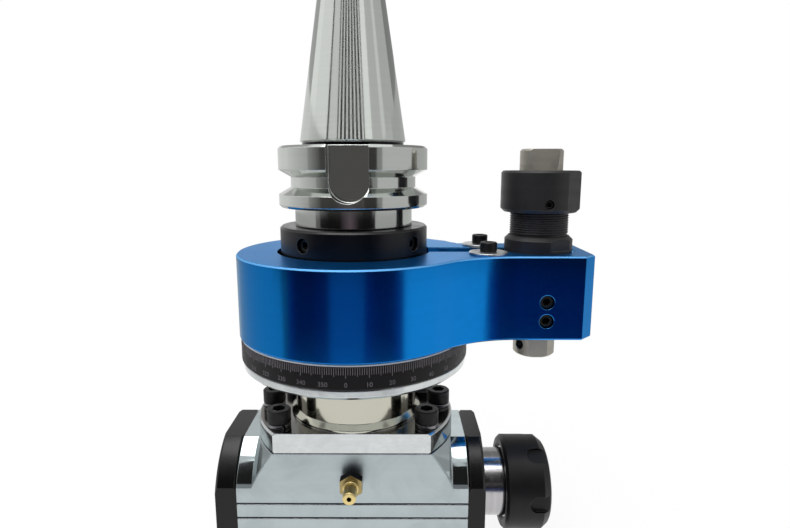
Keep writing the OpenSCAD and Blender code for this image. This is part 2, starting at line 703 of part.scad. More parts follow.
module clamp_screws() color(dark_steel)
    at_clamp_screws() translate([0, 0, rim_bot_z]) difference() {
        union() {
            intersection() {
                clamp_head(0);
                cylinder(d = clamp_head_d + cut, h = rim_h);
            }
            cylinder(d = clamp_screw_d, h = clamp_ring_z + clamp_ring_h - rim_bot_z - 0.3);
        }
        translate([0, 0, -cut]) hexagon(2.5, cut + 1.5);
    }
module bearing_cap() color(dark_steel)
    translate([0, 0, pack_top_z]) difference() {
        ring(upper_od / 2 - seat_gap, 0, cap_ring_h, 0.3);
        translate([0, 0, -cut]) cylinder(d = neck_d + 1.6, h = cap_ring_h + 2 * cut);
        translate([0, 0, 1]) cylinder(d = neck_d + 7, h = cap_ring_h);
        for (turn = [0, 180]) rotate(turn) translate([upper_od / 2 - 1.1, 0, 1.5]) cylinder(r = 0.9, h = cap_ring_h);
    }
module top_seal() color(rubber)
    translate([0, 0, pack_top_z + 1 + seat_gap])
        ring(neck_d / 2 + 3.5 - seat_gap, neck_d / 2 + run_gap, cap_ring_h - 1.4, 0.3);

// Upper bearing pair with spacers between the two
module at_upper_pair()
    for (z = [pack_bot_z, pack_top_z - upper_w]) translate([0, 0, z]) children();
module upper_bearing_outer() color(steel) at_upper_pair() outer_race(upper_bore, upper_od, upper_w);
module upper_bearing_inner() color(steel) at_upper_pair() inner_race(upper_bore, upper_od, upper_w);
module upper_bearing_balls() color(steel) at_upper_pair() balls(upper_bore, upper_od, upper_w, 18);
module upper_outer_spacer() color(steel)
    translate([0, 0, pack_bot_z + upper_w]) ring(upper_od / 2 - seat_gap, upper_od / 2 - 3, spacer_h, 0.2);
module upper_inner_spacer() color(steel)
    translate([0, 0, pack_bot_z + upper_w]) ring(upper_bore / 2 + 3, upper_bore / 2 + seat_gap, spacer_h, 0.2);

// Lower bearing of the input shaft and the circlip under it
module lower_bearing_outer() color(steel)
    translate([0, 0, lower_bot_z]) outer_race(lower_bore, lower_od, lower_w);
module lower_bearing_inner() color(steel)
    translate([0, 0, lower_bot_z]) inner_race(lower_bore, lower_od, lower_w);
module lower_bearing_balls() color(steel)
    translate([0, 0, lower_bot_z]) balls(lower_bore, lower_od, lower_w, 10);
module lower_circlip() color(dark_steel)
    translate([0, 0, lower_bot_z - clip_t - seat_gap]) difference() {
        ring(lower_od / 2 + clip_depth - seat_gap, lower_od / 2 - 3, clip_t - seat_gap, 0.2);
        rotate(90) translate([0, -4, -cut]) cube([lower_od, 8, clip_t + 2 * cut]);
    }

// Gearbox: a square block turned down to round bosses, with scribed grooves on its two sides
corner_r = box_w / 2 * sqrt(2);
boss_r = boss_d / 2;
module gearbox_form()
    intersection() {
        translate([-end_x, -box_w / 2, axis_z - box_w / 2]) cube([box_l, box_w, box_w]);
        on_spindle() turned([
            [0, -end_x], [boss_r, -end_x], [boss_r, -end_x + boss_l],
            [corner_r + cut, -end_x + boss_l + corner_r + cut - boss_r],
            [corner_r + cut, end_x - boss_l - corner_r - cut + boss_r],
            [boss_r, end_x - boss_l], [boss_r, end_x], [0, end_x]
        ]);
    }
module at_cover_screws() around(4, cover_screw_r, 45) children();
module gear_housing() color(steel)
    difference() {
        gearbox_form();
        on_spindle(-cavity_r) cylinder(r = cavity_r, h = cavity_r + front_x - bearing_shoulder);
        on_spindle(-end_x - cut) cylinder(d = rear_od - 5, h = box_l);
        on_spindle(front_x - seat_gap) cylinder(d = front_od, h = box_l);
        on_spindle(-end_x - cut) cylinder(d = rear_od, h = rear_w + 0.1 + seat_gap + cut);
        on_spindle(front_x - bearing_shoulder - cut) cylinder(d = front_od - 4, h = bearing_shoulder + 2 * cut);
        translate([0, 0, axis_z]) cylinder(r = cavity_r, h = box_w);
        translate([0, 0, plate_bot_z - spigot_h - free_gap]) cylinder(r = spigot_r + seat_gap, h = box_w);
        at_plate_screws() translate([0, 0, plate_bot_z - plate_screw_depth - 0.5])
            cylinder(d = plate_screw_d + 2 * seat_gap, h = box_w);
        for (end = [0, 180]) translate([0, 0, axis_z]) rotate(end) rotate([0, 90, 0])
            at_cover_screws() translate([0, 0, end_x - cover_screw_depth - 0.5])
                cylinder(d = cover_screw_d + 2 * seat_gap, h = box_l);
        for (side = [-1, 1], row = [-1, 0, 1])
            translate([-end_x, side * box_w / 2 - 0.35, axis_z + row * groove_pitch - 0.45])
                cube([box_l, 0.7, 0.9]);
        translate([0, 0, axis_z + nozzle_rise]) rotate([90, 0, 0]) cylinder(r = nozzle_thread_r + seat_gap, h = box_w);
    }
module plate_washers() color(steel)
    at_plate_screws() translate([0, 0, plate_top_z]) difference() {
        ring(plate_head_d / 2 - 0.1, plate_screw_d / 2 + 0.1, spring_washer_t, 0.15);
        rotate([30, 0, 100]) translate([0, -0.5, -plate_head_d]) cube([plate_head_d, 0.8, 2 * plate_head_d]);
    }
module plate_screws() color(black)
    at_plate_screws() translate([0, 0, plate_top_z + spring_washer_t])
        socket_screw(plate_screw_d, spring_washer_t + plate_h + plate_screw_depth, plate_head_d, 5);

// End covers follow the bosses; the rear one is closed and the front one seals the nose
module cover_form(t)
    intersection() {
        ring(boss_r, 0, t, 0.01);
        translate([-box_w / 2, -box_w / 2, 0]) cube([box_w, box_w, t]);
    }
module cover_holes(t) {
    at_cover_screws() translate([0, 0, -cut]) cylinder(d = cover_screw_d + 0.4, h = t + 2 * cut);
    at_cover_screws() translate([0, 0, t - cover_screw_d - free_gap]) cylinder(d = cover_head_d + 0.5, h = t);
}
module rear_cover() color(black)
    on_spindle(-end_x) mirror([0, 0, 1]) difference() {
        intersection() {
            cover_form(rear_cover_t);
            ring(boss_r, 0, rear_cover_t, 1);
        }
        cover_holes(rear_cover_t);
        translate([0, 0, -cut]) cylinder(r = rear_recess_r, h = rear_recess + cut);
    }
module front_cover() color(black)
    on_spindle(end_x) difference() {
        intersection() {
            cover_form(front_cover_t);
            ring(boss_r, 0, front_cover_t, 1);
        }
        cover_holes(front_cover_t);
        translate([0, 0, -cut]) cylinder(d = nose_d + 2 * free_gap, h = front_cover_t + 2 * cut);
        translate([0, 0, seal_floor]) cylinder(r = seal_r, h = front_cover_t);
    }
seal_floor = 3;
seal_r = nose_d / 2 + 4.5;
module nose_seal() color(rubber)
    on_spindle(end_x + seal_floor + seat_gap)
        ring(seal_r - seat_gap, nose_d / 2 + run_gap, front_cover_t - seal_floor - 0.3, 0.4);
module cover_screws() color(black) {
    on_spindle(-end_x) mirror([0, 0, 1]) at_cover_screws() translate([0, 0, rear_cover_t - cover_screw_d - free_gap])
        socket_screw(cover_screw_d, rear_cover_t - cover_screw_d - free_gap + cover_screw_depth, cover_head_d, 3);
    on_spindle(end_x) at_cover_screws() translate([0, 0, front_cover_t - cover_screw_d - free_gap])
        socket_screw(cover_screw_d, front_cover_t - cover_screw_d - free_gap + cover_screw_depth, cover_head_d, 3);
}

// Spindle bearings
module at_front_pair() for (i = [0, 1]) on_spindle(front_x + i * (front_w + seat_gap)) children();
module front_bearing_outer() color(steel) at_front_pair() outer_race(front_bore, front_od, front_w);
module front_bearing_inner() color(steel) at_front_pair() inner_race(front_bore, front_od, front_w);
module front_bearing_balls() color(steel) at_front_pair() balls(front_bore, front_od, front_w, 14);
module rear_bearing_outer() color(steel) on_spindle(rear_x) outer_race(rear_bore, rear_od, rear_w);
module rear_bearing_inner() color(steel) on_spindle(rear_x) inner_race(rear_bore, rear_od, rear_w);
module rear_bearing_balls() color(steel) on_spindle(rear_x) balls(rear_bore, rear_od, rear_w, 9);

// Coolant nozzle on the gearbox front: thread, neck, hexagon, collar and drilled tip
nozzle_thread_r = 2.5;
nozzle_neck_l = 2.3;
nozzle_hex = 9;
nozzle_hex_l = 4;
nozzle_collar_l = 1.6;
nozzle_tip_l = 6.8;
module coolant_nozzle() color(brass)
    translate([0, -box_w / 2, axis_z + nozzle_rise]) rotate([90, 0, 0]) difference() {
        union() {
            translate([0, 0, -4.5]) cylinder(r = nozzle_thread_r, h = 4.5 + cut);
            cylinder(r = 3.1, h = nozzle_neck_l + cut);
            translate([0, 0, nozzle_neck_l]) rotate(90) hexagon(nozzle_hex, nozzle_hex_l);
            translate([0, 0, nozzle_neck_l + nozzle_hex_l - cut]) ring(3.3, 0, nozzle_collar_l + cut, 0.3);
            translate([0, 0, nozzle_neck_l + nozzle_hex_l]) ring(2.7, 0, nozzle_collar_l + nozzle_tip_l, 0.4);
        }
        translate([0, 0, -5]) cylinder(r = 0.95, h = 30);
    }

// Taper shank: taper, flange, neck and the stepped input shaft in one turned piece
taper_rate = 7 / 24;
taper_top_r = gauge_d / 2 - taper_l * taper_rate / 2;
groove_mid_z = flange_top_z - groove_drop;
groove_depth = (flange_d - groove_floor_d) / 2;
groove_floor_half = groove_w / 2 - groove_depth * tan(30);
shoulder_r = upper_bore / 2 + 2.8;
shaft_step_h = 0.5;
shaft_step_z = rim_bot_z + chamber_floor + free_gap;
module shank_form()
    turned([
        [0, shaft_end_z], [gear_seat_r - 0.4, shaft_end_z], [gear_seat_r, shaft_end_z + 0.4],
        [gear_seat_r, input_hub_top_z + 0.3], [lower_bore / 2, input_hub_top_z + 0.3],
        [lower_bore / 2, lower_top_z], [lower_bore / 2 + 3.5, lower_top_z],
        [lower_bore / 2 + 3.5, shaft_step_z], [upper_bore / 2, shaft_step_z + shaft_step_h],
        [upper_bore / 2, pack_top_z], [shoulder_r, pack_top_z], [shoulder_r, pack_top_z + 2],
        [neck_d / 2, pack_top_z + 2], [neck_d / 2, flange_bot_z],
        [flange_d / 2 - 1, flange_bot_z], [flange_d / 2, flange_bot_z + 1],
        [flange_d / 2, groove_mid_z - groove_w / 2], [groove_floor_d / 2, groove_mid_z - groove_floor_half],
        [groove_floor_d / 2, groove_mid_z + groove_floor_half], [flange_d / 2, groove_mid_z + groove_w / 2],
        [flange_d / 2, flange_top_z - 1], [flange_d / 2 - 1, flange_top_z],
        [gauge_d / 2 - 0.8, flange_top_z], [gauge_d / 2 - 0.8, -0.6], [gauge_d / 2, 0],
        [taper_top_r, taper_l - 1], [taper_top_r - 1, taper_l], [0, taper_l]
    ]);
module key_slot() {
    round_r = key_slot_w / 2;
    round_z = flange_top_z - key_slot_l + round_r;
    translate([-round_r, key_floor, round_z]) cube([key_slot_w, flange_d, key_slot_l]);
    translate([0, key_floor, round_z]) rotate([-90, 0, 0]) cylinder(r = round_r, h = flange_d);
}
module taper_shank() color(steel)
    difference() {
        shank_form();
        key_slot();
        rotate(180) key_slot();
        translate([0, 0, taper_l - stud_bore_l]) cylinder(d = stud_bore_d, h = stud_bore_l + cut);
        translate([0, 0, taper_l - 6]) cylinder(d = stud_bore_d + 3, h = 6 + cut);
        translate([0, 0, shaft_end_z - cut]) cylinder(r = end_screw_r + seat_gap, h = end_screw_l + 2 + cut);
        translate([0, 0, axis_z]) key_seat(input_key_l);
    }
input_key_gap = 1.8;
output_key_gap = 0.38;
input_key_l = input_hub_l - input_key_gap;
output_key_l = output_hub_l - output_key_gap;
module lock_collar() color(black)
    difference() {
        translate([0, 0, collar_bot_z]) ring(collar_r, neck_d / 2 + seat_gap, collar_h, edge);
        around(collar_screw_n, 0, collar_screw_turn) translate([0, 0, collar_top_z - collar_screw_drop])
            rotate([0, 90, 0]) cylinder(d = collar_screw_d + 2 * seat_gap, h = collar_d);
        translate([collar_r - 4, -slot_w / 2 - free_gap, collar_bot_z - cut])
            cube([collar_d, slot_w + 2 * free_gap, finger_top_z + free_gap - collar_bot_z + cut]);
    }
module collar_set_screws() color(dark_steel)
    around(collar_screw_n, neck_d / 2 + seat_gap, collar_screw_turn)
        translate([0, 0, collar_top_z - collar_screw_drop]) rotate([0, 90, 0])
            grub_screw(collar_screw_d, collar_r - neck_d / 2 - 1.6, 3);
module spanner_nut(outer, inner, h)
    difference() {
        ring(outer, inner, h, 0.5);
        around(4, outer) translate([-1.8, -2, -cut]) cube([4, 4, h + 2 * cut]);
    }
module shaft_locknut() color(dark_steel)
    translate([0, 0, pack_bot_z - locknut_t - 0.1]) spanner_nut(chamber_r - 1.5, upper_bore / 2 + seat_gap, locknut_t);
module input_spacer() color(steel)
    translate([0, 0, input_hub_top_z + run_gap / 2])
        ring(lower_bore / 2 + 3, lower_bore / 2 + seat_gap, input_spacer_h, 0.2);
module input_gear() color(dark_steel) translate([0, 0, axis_z]) mitre_gear(input_hub_l);
module input_gear_key() color(steel) translate([0, 0, axis_z]) gear_key(input_key_l);
module gear_end_screw() color(dark_steel)
    translate([0, 0, axis_z + gear_r - gear_h - 0.05]) mirror([0, 0, 1]) difference() {
        union() {
            ring(end_head_r, 0, end_head_h, 0.4);
            translate([0, 0, -end_screw_l]) cylinder(r = end_screw_r, h = end_screw_l + 0.5);
        }
        translate([0, 0, 0.8]) hexagon(4, end_head_h);
    }

// Output spindle: rear journal, gear seat, front journal and the nose with the collet's taper
function collet_r_at(x) = collet_r - (collet_wide_x - x) * tan(collet_angle);
spindle_end_x = rear_x - locknut_t - 0.6;
rear_shoulder_r = rear_bore / 2 + 2;
taper_end_x = collet_back_x - 1;
clip_x = gear_r - gear_h - 0.1 - clip_t;
module output_spindle() color(steel)
    difference() {
        on_spindle() turned([
            [0, spindle_end_x], [rear_bore / 2 - 0.6, spindle_end_x], [rear_bore / 2, spindle_end_x + 0.6],
            [rear_bore / 2, rear_x + rear_w], [rear_shoulder_r, rear_x + rear_w],
            [rear_shoulder_r, rear_x + rear_w + 4], [gear_seat_r, rear_x + rear_w + 4],
            [gear_seat_r, clip_x - seat_gap], [gear_seat_r - 0.7, clip_x - seat_gap],
            [gear_seat_r - 0.7, clip_x + clip_t + seat_gap], [gear_seat_r, clip_x + clip_t + seat_gap],
            [gear_seat_r, front_x - spindle_spacer_l], [gear_seat_r, front_x - 0.3],
            [front_bore / 2, front_x - 0.3], [front_bore / 2, end_x], [nose_d / 2, end_x],
            [nose_d / 2, nut_x + 1], [nose_thread_r - 0.4, nut_x + 1], [nose_thread_r, nut_x + 1.4],
            [nose_thread_r, nose_x - 0.8], [nose_thread_r - 0.8, nose_x],
            [collet_r_at(nose_x) + run_gap, nose_x], [collet_r_at(taper_end_x) + run_gap, taper_end_x],
            [draw_bore_r, taper_end_x], [draw_bore_r, taper_end_x - draw_bore_l], [0, taper_end_x - draw_bore_l]
        ]);
        on_spindle() key_seat(output_key_l);
    }
module spindle_spacer() color(steel)
    on_spindle(front_x - spindle_spacer_l) ring(front_bore / 2 + 3, gear_seat_r + seat_gap, spindle_spacer_l - 0.35, 0.3);
module output_gear() color(dark_steel) on_spindle() mitre_gear(output_hub_l, 180 / gear_teeth);
module output_gear_key() color(steel) on_spindle() gear_key(output_key_l);
module spindle_circlip() color(dark_steel)
    on_spindle(clip_x) difference() {
        ring(gear_seat_r + 2, gear_seat_r - 0.7 + seat_gap, clip_t, 0.2);
        rotate(-90) translate([0, -3, -cut]) cube([hub_r, 6, clip_t + 2 * cut]);
    }
module spindle_locknut() color(dark_steel)
    on_spindle(rear_x - locknut_t - 0.05) spanner_nut(rear_recess_r - 1.5, rear_bore / 2 + seat_gap, locknut_t);

// Collet: long cone, extractor groove, front cone and slits cut from both ends in turn
module collet() color(steel)
    difference() {
        on_spindle() turned([
            [tool_d / 2, collet_back_x], [collet_r_at(collet_back_x) - 0.5, collet_back_x],
            [collet_r_at(collet_back_x + 0.5), collet_back_x + 0.5], [collet_r, collet_wide_x],
            [collet_r, collet_wide_x + 0.3], [collet_groove_r, collet_wide_x + 0.3],
            [collet_groove_r, collet_lip_x], [collet_lip_r, collet_lip_x],
            [collet_lip_r, collet_lip_x + collet_lip_l],
            [collet_lip_r - (collet_front_x - collet_lip_x - collet_lip_l) * tan(seat_angle), collet_front_x],
            [tool_d / 2 + 0.4, collet_front_x], [tool_d / 2, collet_front_x - 0.4]
        ]);
        on_spindle() for (i = [0 : slit_n - 1]) {
            rotate(360 / slit_n * i) translate([0, -slit_w / 2, collet_back_x + slit_bridge])
                cube([collet_d, slit_w, collet_l]);
            rotate(360 / slit_n * (i + 0.5)) translate([0, -slit_w / 2, collet_back_x - slit_bridge])
                cube([collet_d, slit_w, collet_l]);
        }
    }

// Clamping nut: thread, extractor groove, cone on the collet's front and slots for the spanner
nut_r = nut_d / 2;
nut_slot_w = 7.4;
nut_slot_l = 10;
nut_slot_depth = 2.2;
nut_seat_gap = 0.1;
function nut_cone_r(x) = collet_lip_r + nut_seat_gap - (x - collet_lip_x - collet_lip_l) * tan(seat_angle);
module clamping_nut() color(black)
    difference() {
        on_spindle() turned([
            [nose_thread_r + 1.2, nut_x], [nut_r - 1.2, nut_x], [nut_r, nut_x + 1.2], [nut_r, nut_end_x - 3.6],
            [nut_r - 2.4, nut_end_x - 0.6], [nut_r - 3.4, nut_end_x],
            [nut_cone_r(collet_front_x - 0.6) + 1.6, nut_end_x], [nut_cone_r(collet_front_x - 0.6), collet_front_x - 0.6],
            [nut_cone_r(collet_lip_x + collet_lip_l), collet_lip_x + collet_lip_l],
            [nut_cone_r(collet_lip_x + collet_lip_l), extractor_x + extractor_t + seat_gap],
            [extractor_r + seat_gap, extractor_x + extractor_t + seat_gap], [extractor_r + seat_gap, extractor_x - seat_gap],
            [nose_thread_r + 0.8, extractor_x - seat_gap - 0.4], [nose_thread_r + 0.8, nose_x],
            [nose_thread_r + run_gap, nose_x - 0.8], [nose_thread_r + run_gap, nut_x + 1.1]
        ]);
        on_spindle() around(nut_slot_n, nut_r - nut_slot_depth, -91) {
            translate([0, -nut_slot_w / 2, nut_end_x - nut_slot_l + nut_slot_w / 2])
                cube([nut_r, nut_slot_w, nut_slot_l]);
            translate([0, 0, nut_end_x - nut_slot_l + nut_slot_w / 2]) rotate([0, 90, 0])
                cylinder(d = nut_slot_w, h = nut_r);
        }
    }
module extractor_ring() color(dark_steel)
    on_spindle(extractor_x) ring(extractor_r, collet_groove_r + 0.5, extractor_t, 0.2);

arm_body();
stop_bush();
stop_sleeve();
stop_cap();
cap_set_screw();
bush_set_screws();
finger_washers();
finger_screws();
finger_dowel();
finger_spring();
pin_spring();
stop_pin();
pin_circlip();
lock_finger();
swivel_body();
dial_ring();
clamp_ring();
clamp_screws();
bearing_cap();
top_seal();
upper_bearing_outer();
upper_bearing_balls();
upper_outer_spacer();
lower_bearing_outer();
lower_bearing_balls();
lower_circlip();
gear_housing();
plate_washers();
plate_screws();
rear_cover();
front_cover();
cover_screws();
nose_seal();
front_bearing_outer();
front_bearing_balls();
rear_bearing_outer();
rear_bearing_balls();
coolant_nozzle();
taper_shank();
lock_collar();
collar_set_screws();
upper_bearing_inner();
upper_inner_spacer();
shaft_locknut();
lower_bearing_inner();
input_spacer();
input_gear();
input_gear_key();
gear_end_screw();
output_spindle();
front_bearing_inner();
rear_bearing_inner();
spindle_spacer();
output_gear();
output_gear_key();
spindle_circlip();
spindle_locknut();
collet();
clamping_nut();
extractor_ring();
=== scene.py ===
"""Right-angle milling head: finishes, dial, thread, arm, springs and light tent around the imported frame."""

import math

import bmesh
import bpy
from mathutils import Matrix, Vector


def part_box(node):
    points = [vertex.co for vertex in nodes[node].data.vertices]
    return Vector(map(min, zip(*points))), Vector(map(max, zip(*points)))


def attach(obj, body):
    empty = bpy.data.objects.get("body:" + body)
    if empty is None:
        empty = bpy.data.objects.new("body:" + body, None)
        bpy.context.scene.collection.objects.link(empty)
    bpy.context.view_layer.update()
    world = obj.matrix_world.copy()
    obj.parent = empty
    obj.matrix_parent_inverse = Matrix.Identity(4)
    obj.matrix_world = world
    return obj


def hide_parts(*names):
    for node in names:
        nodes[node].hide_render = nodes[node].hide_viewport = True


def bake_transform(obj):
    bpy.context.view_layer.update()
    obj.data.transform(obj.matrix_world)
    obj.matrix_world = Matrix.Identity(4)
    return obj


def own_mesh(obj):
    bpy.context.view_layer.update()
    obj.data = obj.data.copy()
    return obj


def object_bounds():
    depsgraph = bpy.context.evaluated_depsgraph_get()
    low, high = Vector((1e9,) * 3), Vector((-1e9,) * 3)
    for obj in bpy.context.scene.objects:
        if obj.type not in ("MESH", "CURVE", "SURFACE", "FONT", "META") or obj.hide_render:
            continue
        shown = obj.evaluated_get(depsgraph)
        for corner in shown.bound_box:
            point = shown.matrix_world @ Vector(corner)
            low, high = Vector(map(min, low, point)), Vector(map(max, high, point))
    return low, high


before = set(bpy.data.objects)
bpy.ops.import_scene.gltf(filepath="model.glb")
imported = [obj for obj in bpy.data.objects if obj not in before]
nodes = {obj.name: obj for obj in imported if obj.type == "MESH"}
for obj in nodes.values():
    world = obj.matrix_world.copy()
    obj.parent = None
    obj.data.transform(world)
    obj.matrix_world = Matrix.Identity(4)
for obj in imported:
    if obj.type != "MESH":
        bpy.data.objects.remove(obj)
cad_low, cad_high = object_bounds()

MM = 0.001
MM_PER_M = 1000.0

# Places that the frame gives
nut_low, nut_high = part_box("clamping_nut")
pin_low, pin_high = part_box("stop_pin")
dial_low, dial_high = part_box("dial_ring")
sleeve_low, sleeve_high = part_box("stop_sleeve")
arm_low, arm_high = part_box("arm_body")
housing_low, housing_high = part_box("gear_housing")
SPINDLE_AXIS_Z = (nut_low.z + nut_high.z) / 2
STOP_AXIS_X = (pin_low.x + pin_high.x) / 2
DIAL_R = dial_high.x
SLEEVE_R = (sleeve_high.x - sleeve_low.x) / 2
RING_R = -arm_low.x
HOUSING_HALF_W = -housing_low.y
CAP_BOTTOM_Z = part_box("stop_cap")[0].z
BUSH_TOP_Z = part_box("stop_bush")[1].z
COLLAR_TOP_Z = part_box("lock_collar")[1].z
PLATE_TOP_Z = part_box("plate_washers")[0].z
PLATE_BOTTOM_Z = housing_high.z
FLOOR_Z = cad_low.z

# Camera, fitted to the edges of the head in the photograph
PHOTO_W_PX = 790
FOCAL_PX = 559.2
SENSOR_W = 36.0
CAMERA_AT = Vector((18.7, -242.0, -9.6)) * MM
CAMERA_DOWN = math.radians(10.06)
CAMERA_LEFT = math.radians(0.23)
CLIP_NEAR = 0.01
CLIP_FAR = 20.0


def make_camera():
    """The camera of the photograph."""
    data = bpy.data.cameras.new("photo_camera")
    data.sensor_width = SENSOR_W
    data.lens = FOCAL_PX / PHOTO_W_PX * SENSOR_W
    data.clip_start = CLIP_NEAR
    data.clip_end = CLIP_FAR
    camera = bpy.data.objects.new("photo_camera", data)
    bpy.context.scene.collection.objects.link(camera)
    forward = Vector((
        -math.sin(CAMERA_LEFT) * math.cos(CAMERA_DOWN),
        math.cos(CAMERA_LEFT) * math.cos(CAMERA_DOWN),
        -math.sin(CAMERA_DOWN),
    ))
    camera.location = CAMERA_AT
    camera.rotation_euler = forward.to_track_quat("-Z", "Y").to_euler()
    bpy.context.scene.camera = camera


# Node helpers, and the numbers of the Mix node's sockets for colours
MIX_FACTOR = 0
MIX_FIRST = 6
MIX_SECOND = 7
MIX_RESULT = 2
WHITE = (1.0, 1.0, 1.0)


def add(tree, kind, inputs=None, **settings):
    """A new node with its settings, and its inputs linked or set by name or number."""
    made = tree.nodes.new(kind)
    for name, value in settings.items():
        setattr(made, name, value)
    for name, value in (inputs or {}).items():
        if isinstance(value, bpy.types.NodeSocket):
            tree.links.new(value, made.inputs[name])
        else:
            made.inputs[name].default_value = value
    return made


def math_node(tree, operation, first, second=0.0, clamp=False):
    """One step of arithmetic on two values."""
    made = add(tree, "ShaderNodeMath", {0: first, 1: second}, operation=operation, use_clamp=clamp)
    return made.outputs[0]


def blend_colour(tree, factor, first, second):
    """First colour where the factor is 0, second where it is 1."""
    inputs = {MIX_FACTOR: factor, MIX_FIRST: first, MIX_SECOND: second}
    return add(tree, "ShaderNodeMix", inputs, data_type="RGBA").outputs[MIX_RESULT]


def span(tree, value, low, high, to_low=0.0, to_high=1.0):
    """Value carried from one range to another, clamped."""
    made = add(tree, "ShaderNodeMapRange", {
        "Value": value, "From Min": low, "From Max": high, "To Min": to_low, "To Max": to_high,
    })
    return made.outputs["Result"]


def noise(tree, point, scale, detail, **more):
    """A noise value at a point, with more inputs given by name."""
    inputs = {"Vector": point, "Scale": scale, "Detail": detail, **more}
    return add(tree, "ShaderNodeTexNoise", inputs).outputs[0]


def parts_of(tree, point):
    """X, Y and Z of a point."""
    return add(tree, "ShaderNodeSeparateXYZ", {0: point}).outputs


def object_point(tree):
    """The point on the piece, in the shared frame."""
    return add(tree, "ShaderNodeTexCoord").outputs["Object"]


def object_parts(tree):
    """X, Y and Z of the point on the piece."""
    return parts_of(tree, object_point(tree))


def axis_distance(tree, parts):
    """Distance from the Z axis of the point that has these parts."""
    flat = add(tree, "ShaderNodeCombineXYZ", {"X": parts["X"], "Y": parts["Y"]}).outputs[0]
    return add(tree, "ShaderNodeVectorMath", {0: flat}, operation="LENGTH").outputs["Value"]


def opaque(colour):
    """A colour with full alpha."""
    return tuple(colour) + (1.0,)


def darker(colour, share):
    """A colour with a share of its brightness taken away, and full alpha."""
    return opaque(part * (1.0 - share) for part in colour)


def material_tree(name):
    """A new material and its node tree, which is empty."""
    made = bpy.data.materials.new(name)
    made.use_nodes = True
    made.node_tree.nodes.clear()
    return made, made.node_tree


# Effects that the finishes share, as node groups; each noise has a scale and a detail
FLOAT = "NodeSocketFloat"
VECTOR = "NodeSocketVector"
FINE_RINGS = (1.0, 3.0)
BROAD_RINGS = (0.12, 1.0)
RING_TONE = (0.3, 0.7)
SCRATCH_STRETCH = 0.02
FINE_SCRATCHES = (1.0, 4.0)
BROAD_SCRATCHES = (0.08, 2.0)
SCRATCH_TONE = (0.35, 0.65)
CLOUD_DETAIL = 5.0
CLOUD_ROUGHNESS = 0.62
CLOUD_DISTORTION = 0.6
CLOUD_EDGE = (0.42, 0.68)
BEVEL_RAYS = 8
WEAR_COSINES = (0.995, 0.86)
WEAR_PATCHES = (700.0, 3.0)
PATCH_EDGE = (0.3, 0.55)


def new_group(name, inputs, outputs):
    """A shader node group with named sockets; returns the tree with its two ends."""
    tree = bpy.data.node_groups.new(name, "ShaderNodeTree")
    for label, kind, default in inputs:
        socket = tree.interface.new_socket(label, in_out="INPUT", socket_type=kind)
        if default is not None:
            socket.default_value = default
    for label, kind in outputs:
        tree.interface.new_socket(label, in_out="OUTPUT", socket_type=kind)
    start = tree.nodes.new("NodeGroupInput")
    end = tree.nodes.new("NodeGroupOutput")
    return tree, start.outputs, end.inputs


def use_group(tree, group, inputs):
    """The outputs of a group that is placed in a material with its own values."""
    return add(tree, "ShaderNodeGroup", inputs, node_tree=group).outputs


def lathe_marks_group():
    """Fine rings left by a turning tool, about the Z axis of the point that comes in."""
    tree, given, result = new_group(
        "lathe_marks",
        [("Point", VECTOR, None), ("Marks per mm", FLOAT, 4.0)],
        [("Height", FLOAT), ("Tone", FLOAT)],
    )
    parts = parts_of(tree, given["Point"])
    rings = math_node(tree, "MULTIPLY", given["Marks per mm"], MM_PER_M)
    along = add(tree, "ShaderNodeCombineXYZ", {
        "X": math_node(tree, "MULTIPLY", axis_distance(tree, parts), rings),
        "Z": math_node(tree, "MULTIPLY", parts["Z"], rings),
    }).outputs[0]
    tree.links.new(noise(tree, along, *FINE_RINGS), result["Height"])
    tree.links.new(span(tree, noise(tree, along, *BROAD_RINGS), *RING_TONE), result["Tone"])
    return tree


def grinding_group():
    """Long straight scratches of a surface grinder, along X of the point that comes in."""
    tree, given, result = new_group(
        "grinding_scratches",
        [("Point", VECTOR, None), ("Marks per mm", FLOAT, 5.0)],
        [("Height", FLOAT), ("Tone", FLOAT)],
    )
    lines = math_node(tree, "MULTIPLY", given["Marks per mm"], MM_PER_M)
    stretch = add(tree, "ShaderNodeCombineXYZ", {
        "X": math_node(tree, "MULTIPLY", lines, SCRATCH_STRETCH), "Y": lines, "Z": lines,
    }).outputs[0]
    stretched = add(tree, "ShaderNodeVectorMath", {0: given["Point"], 1: stretch}, operation="MULTIPLY")
    along = stretched.outputs[0]
    tree.links.new(noise(tree, along, *FINE_SCRATCHES), result["Height"])
    tree.links.new(span(tree, noise(tree, along, *BROAD_SCRATCHES), *SCRATCH_TONE), result["Tone"])
    return tree


def oil_smudge_group():
    """Soft clouds of oil and handling, as a mask from 0 to 1."""
    tree, given, result = new_group(
        "oil_smudges", [("Point", VECTOR, None), ("Size mm", FLOAT, 12.0)], [("Mask", FLOAT)]
    )
    scale = math_node(tree, "DIVIDE", MM_PER_M, given["Size mm"])
    clouds = noise(
        tree, given["Point"], scale, CLOUD_DETAIL, Roughness=CLOUD_ROUGHNESS, Distortion=CLOUD_DISTORTION
    )
    tree.links.new(span(tree, clouds, *CLOUD_EDGE), result["Mask"])
    return tree


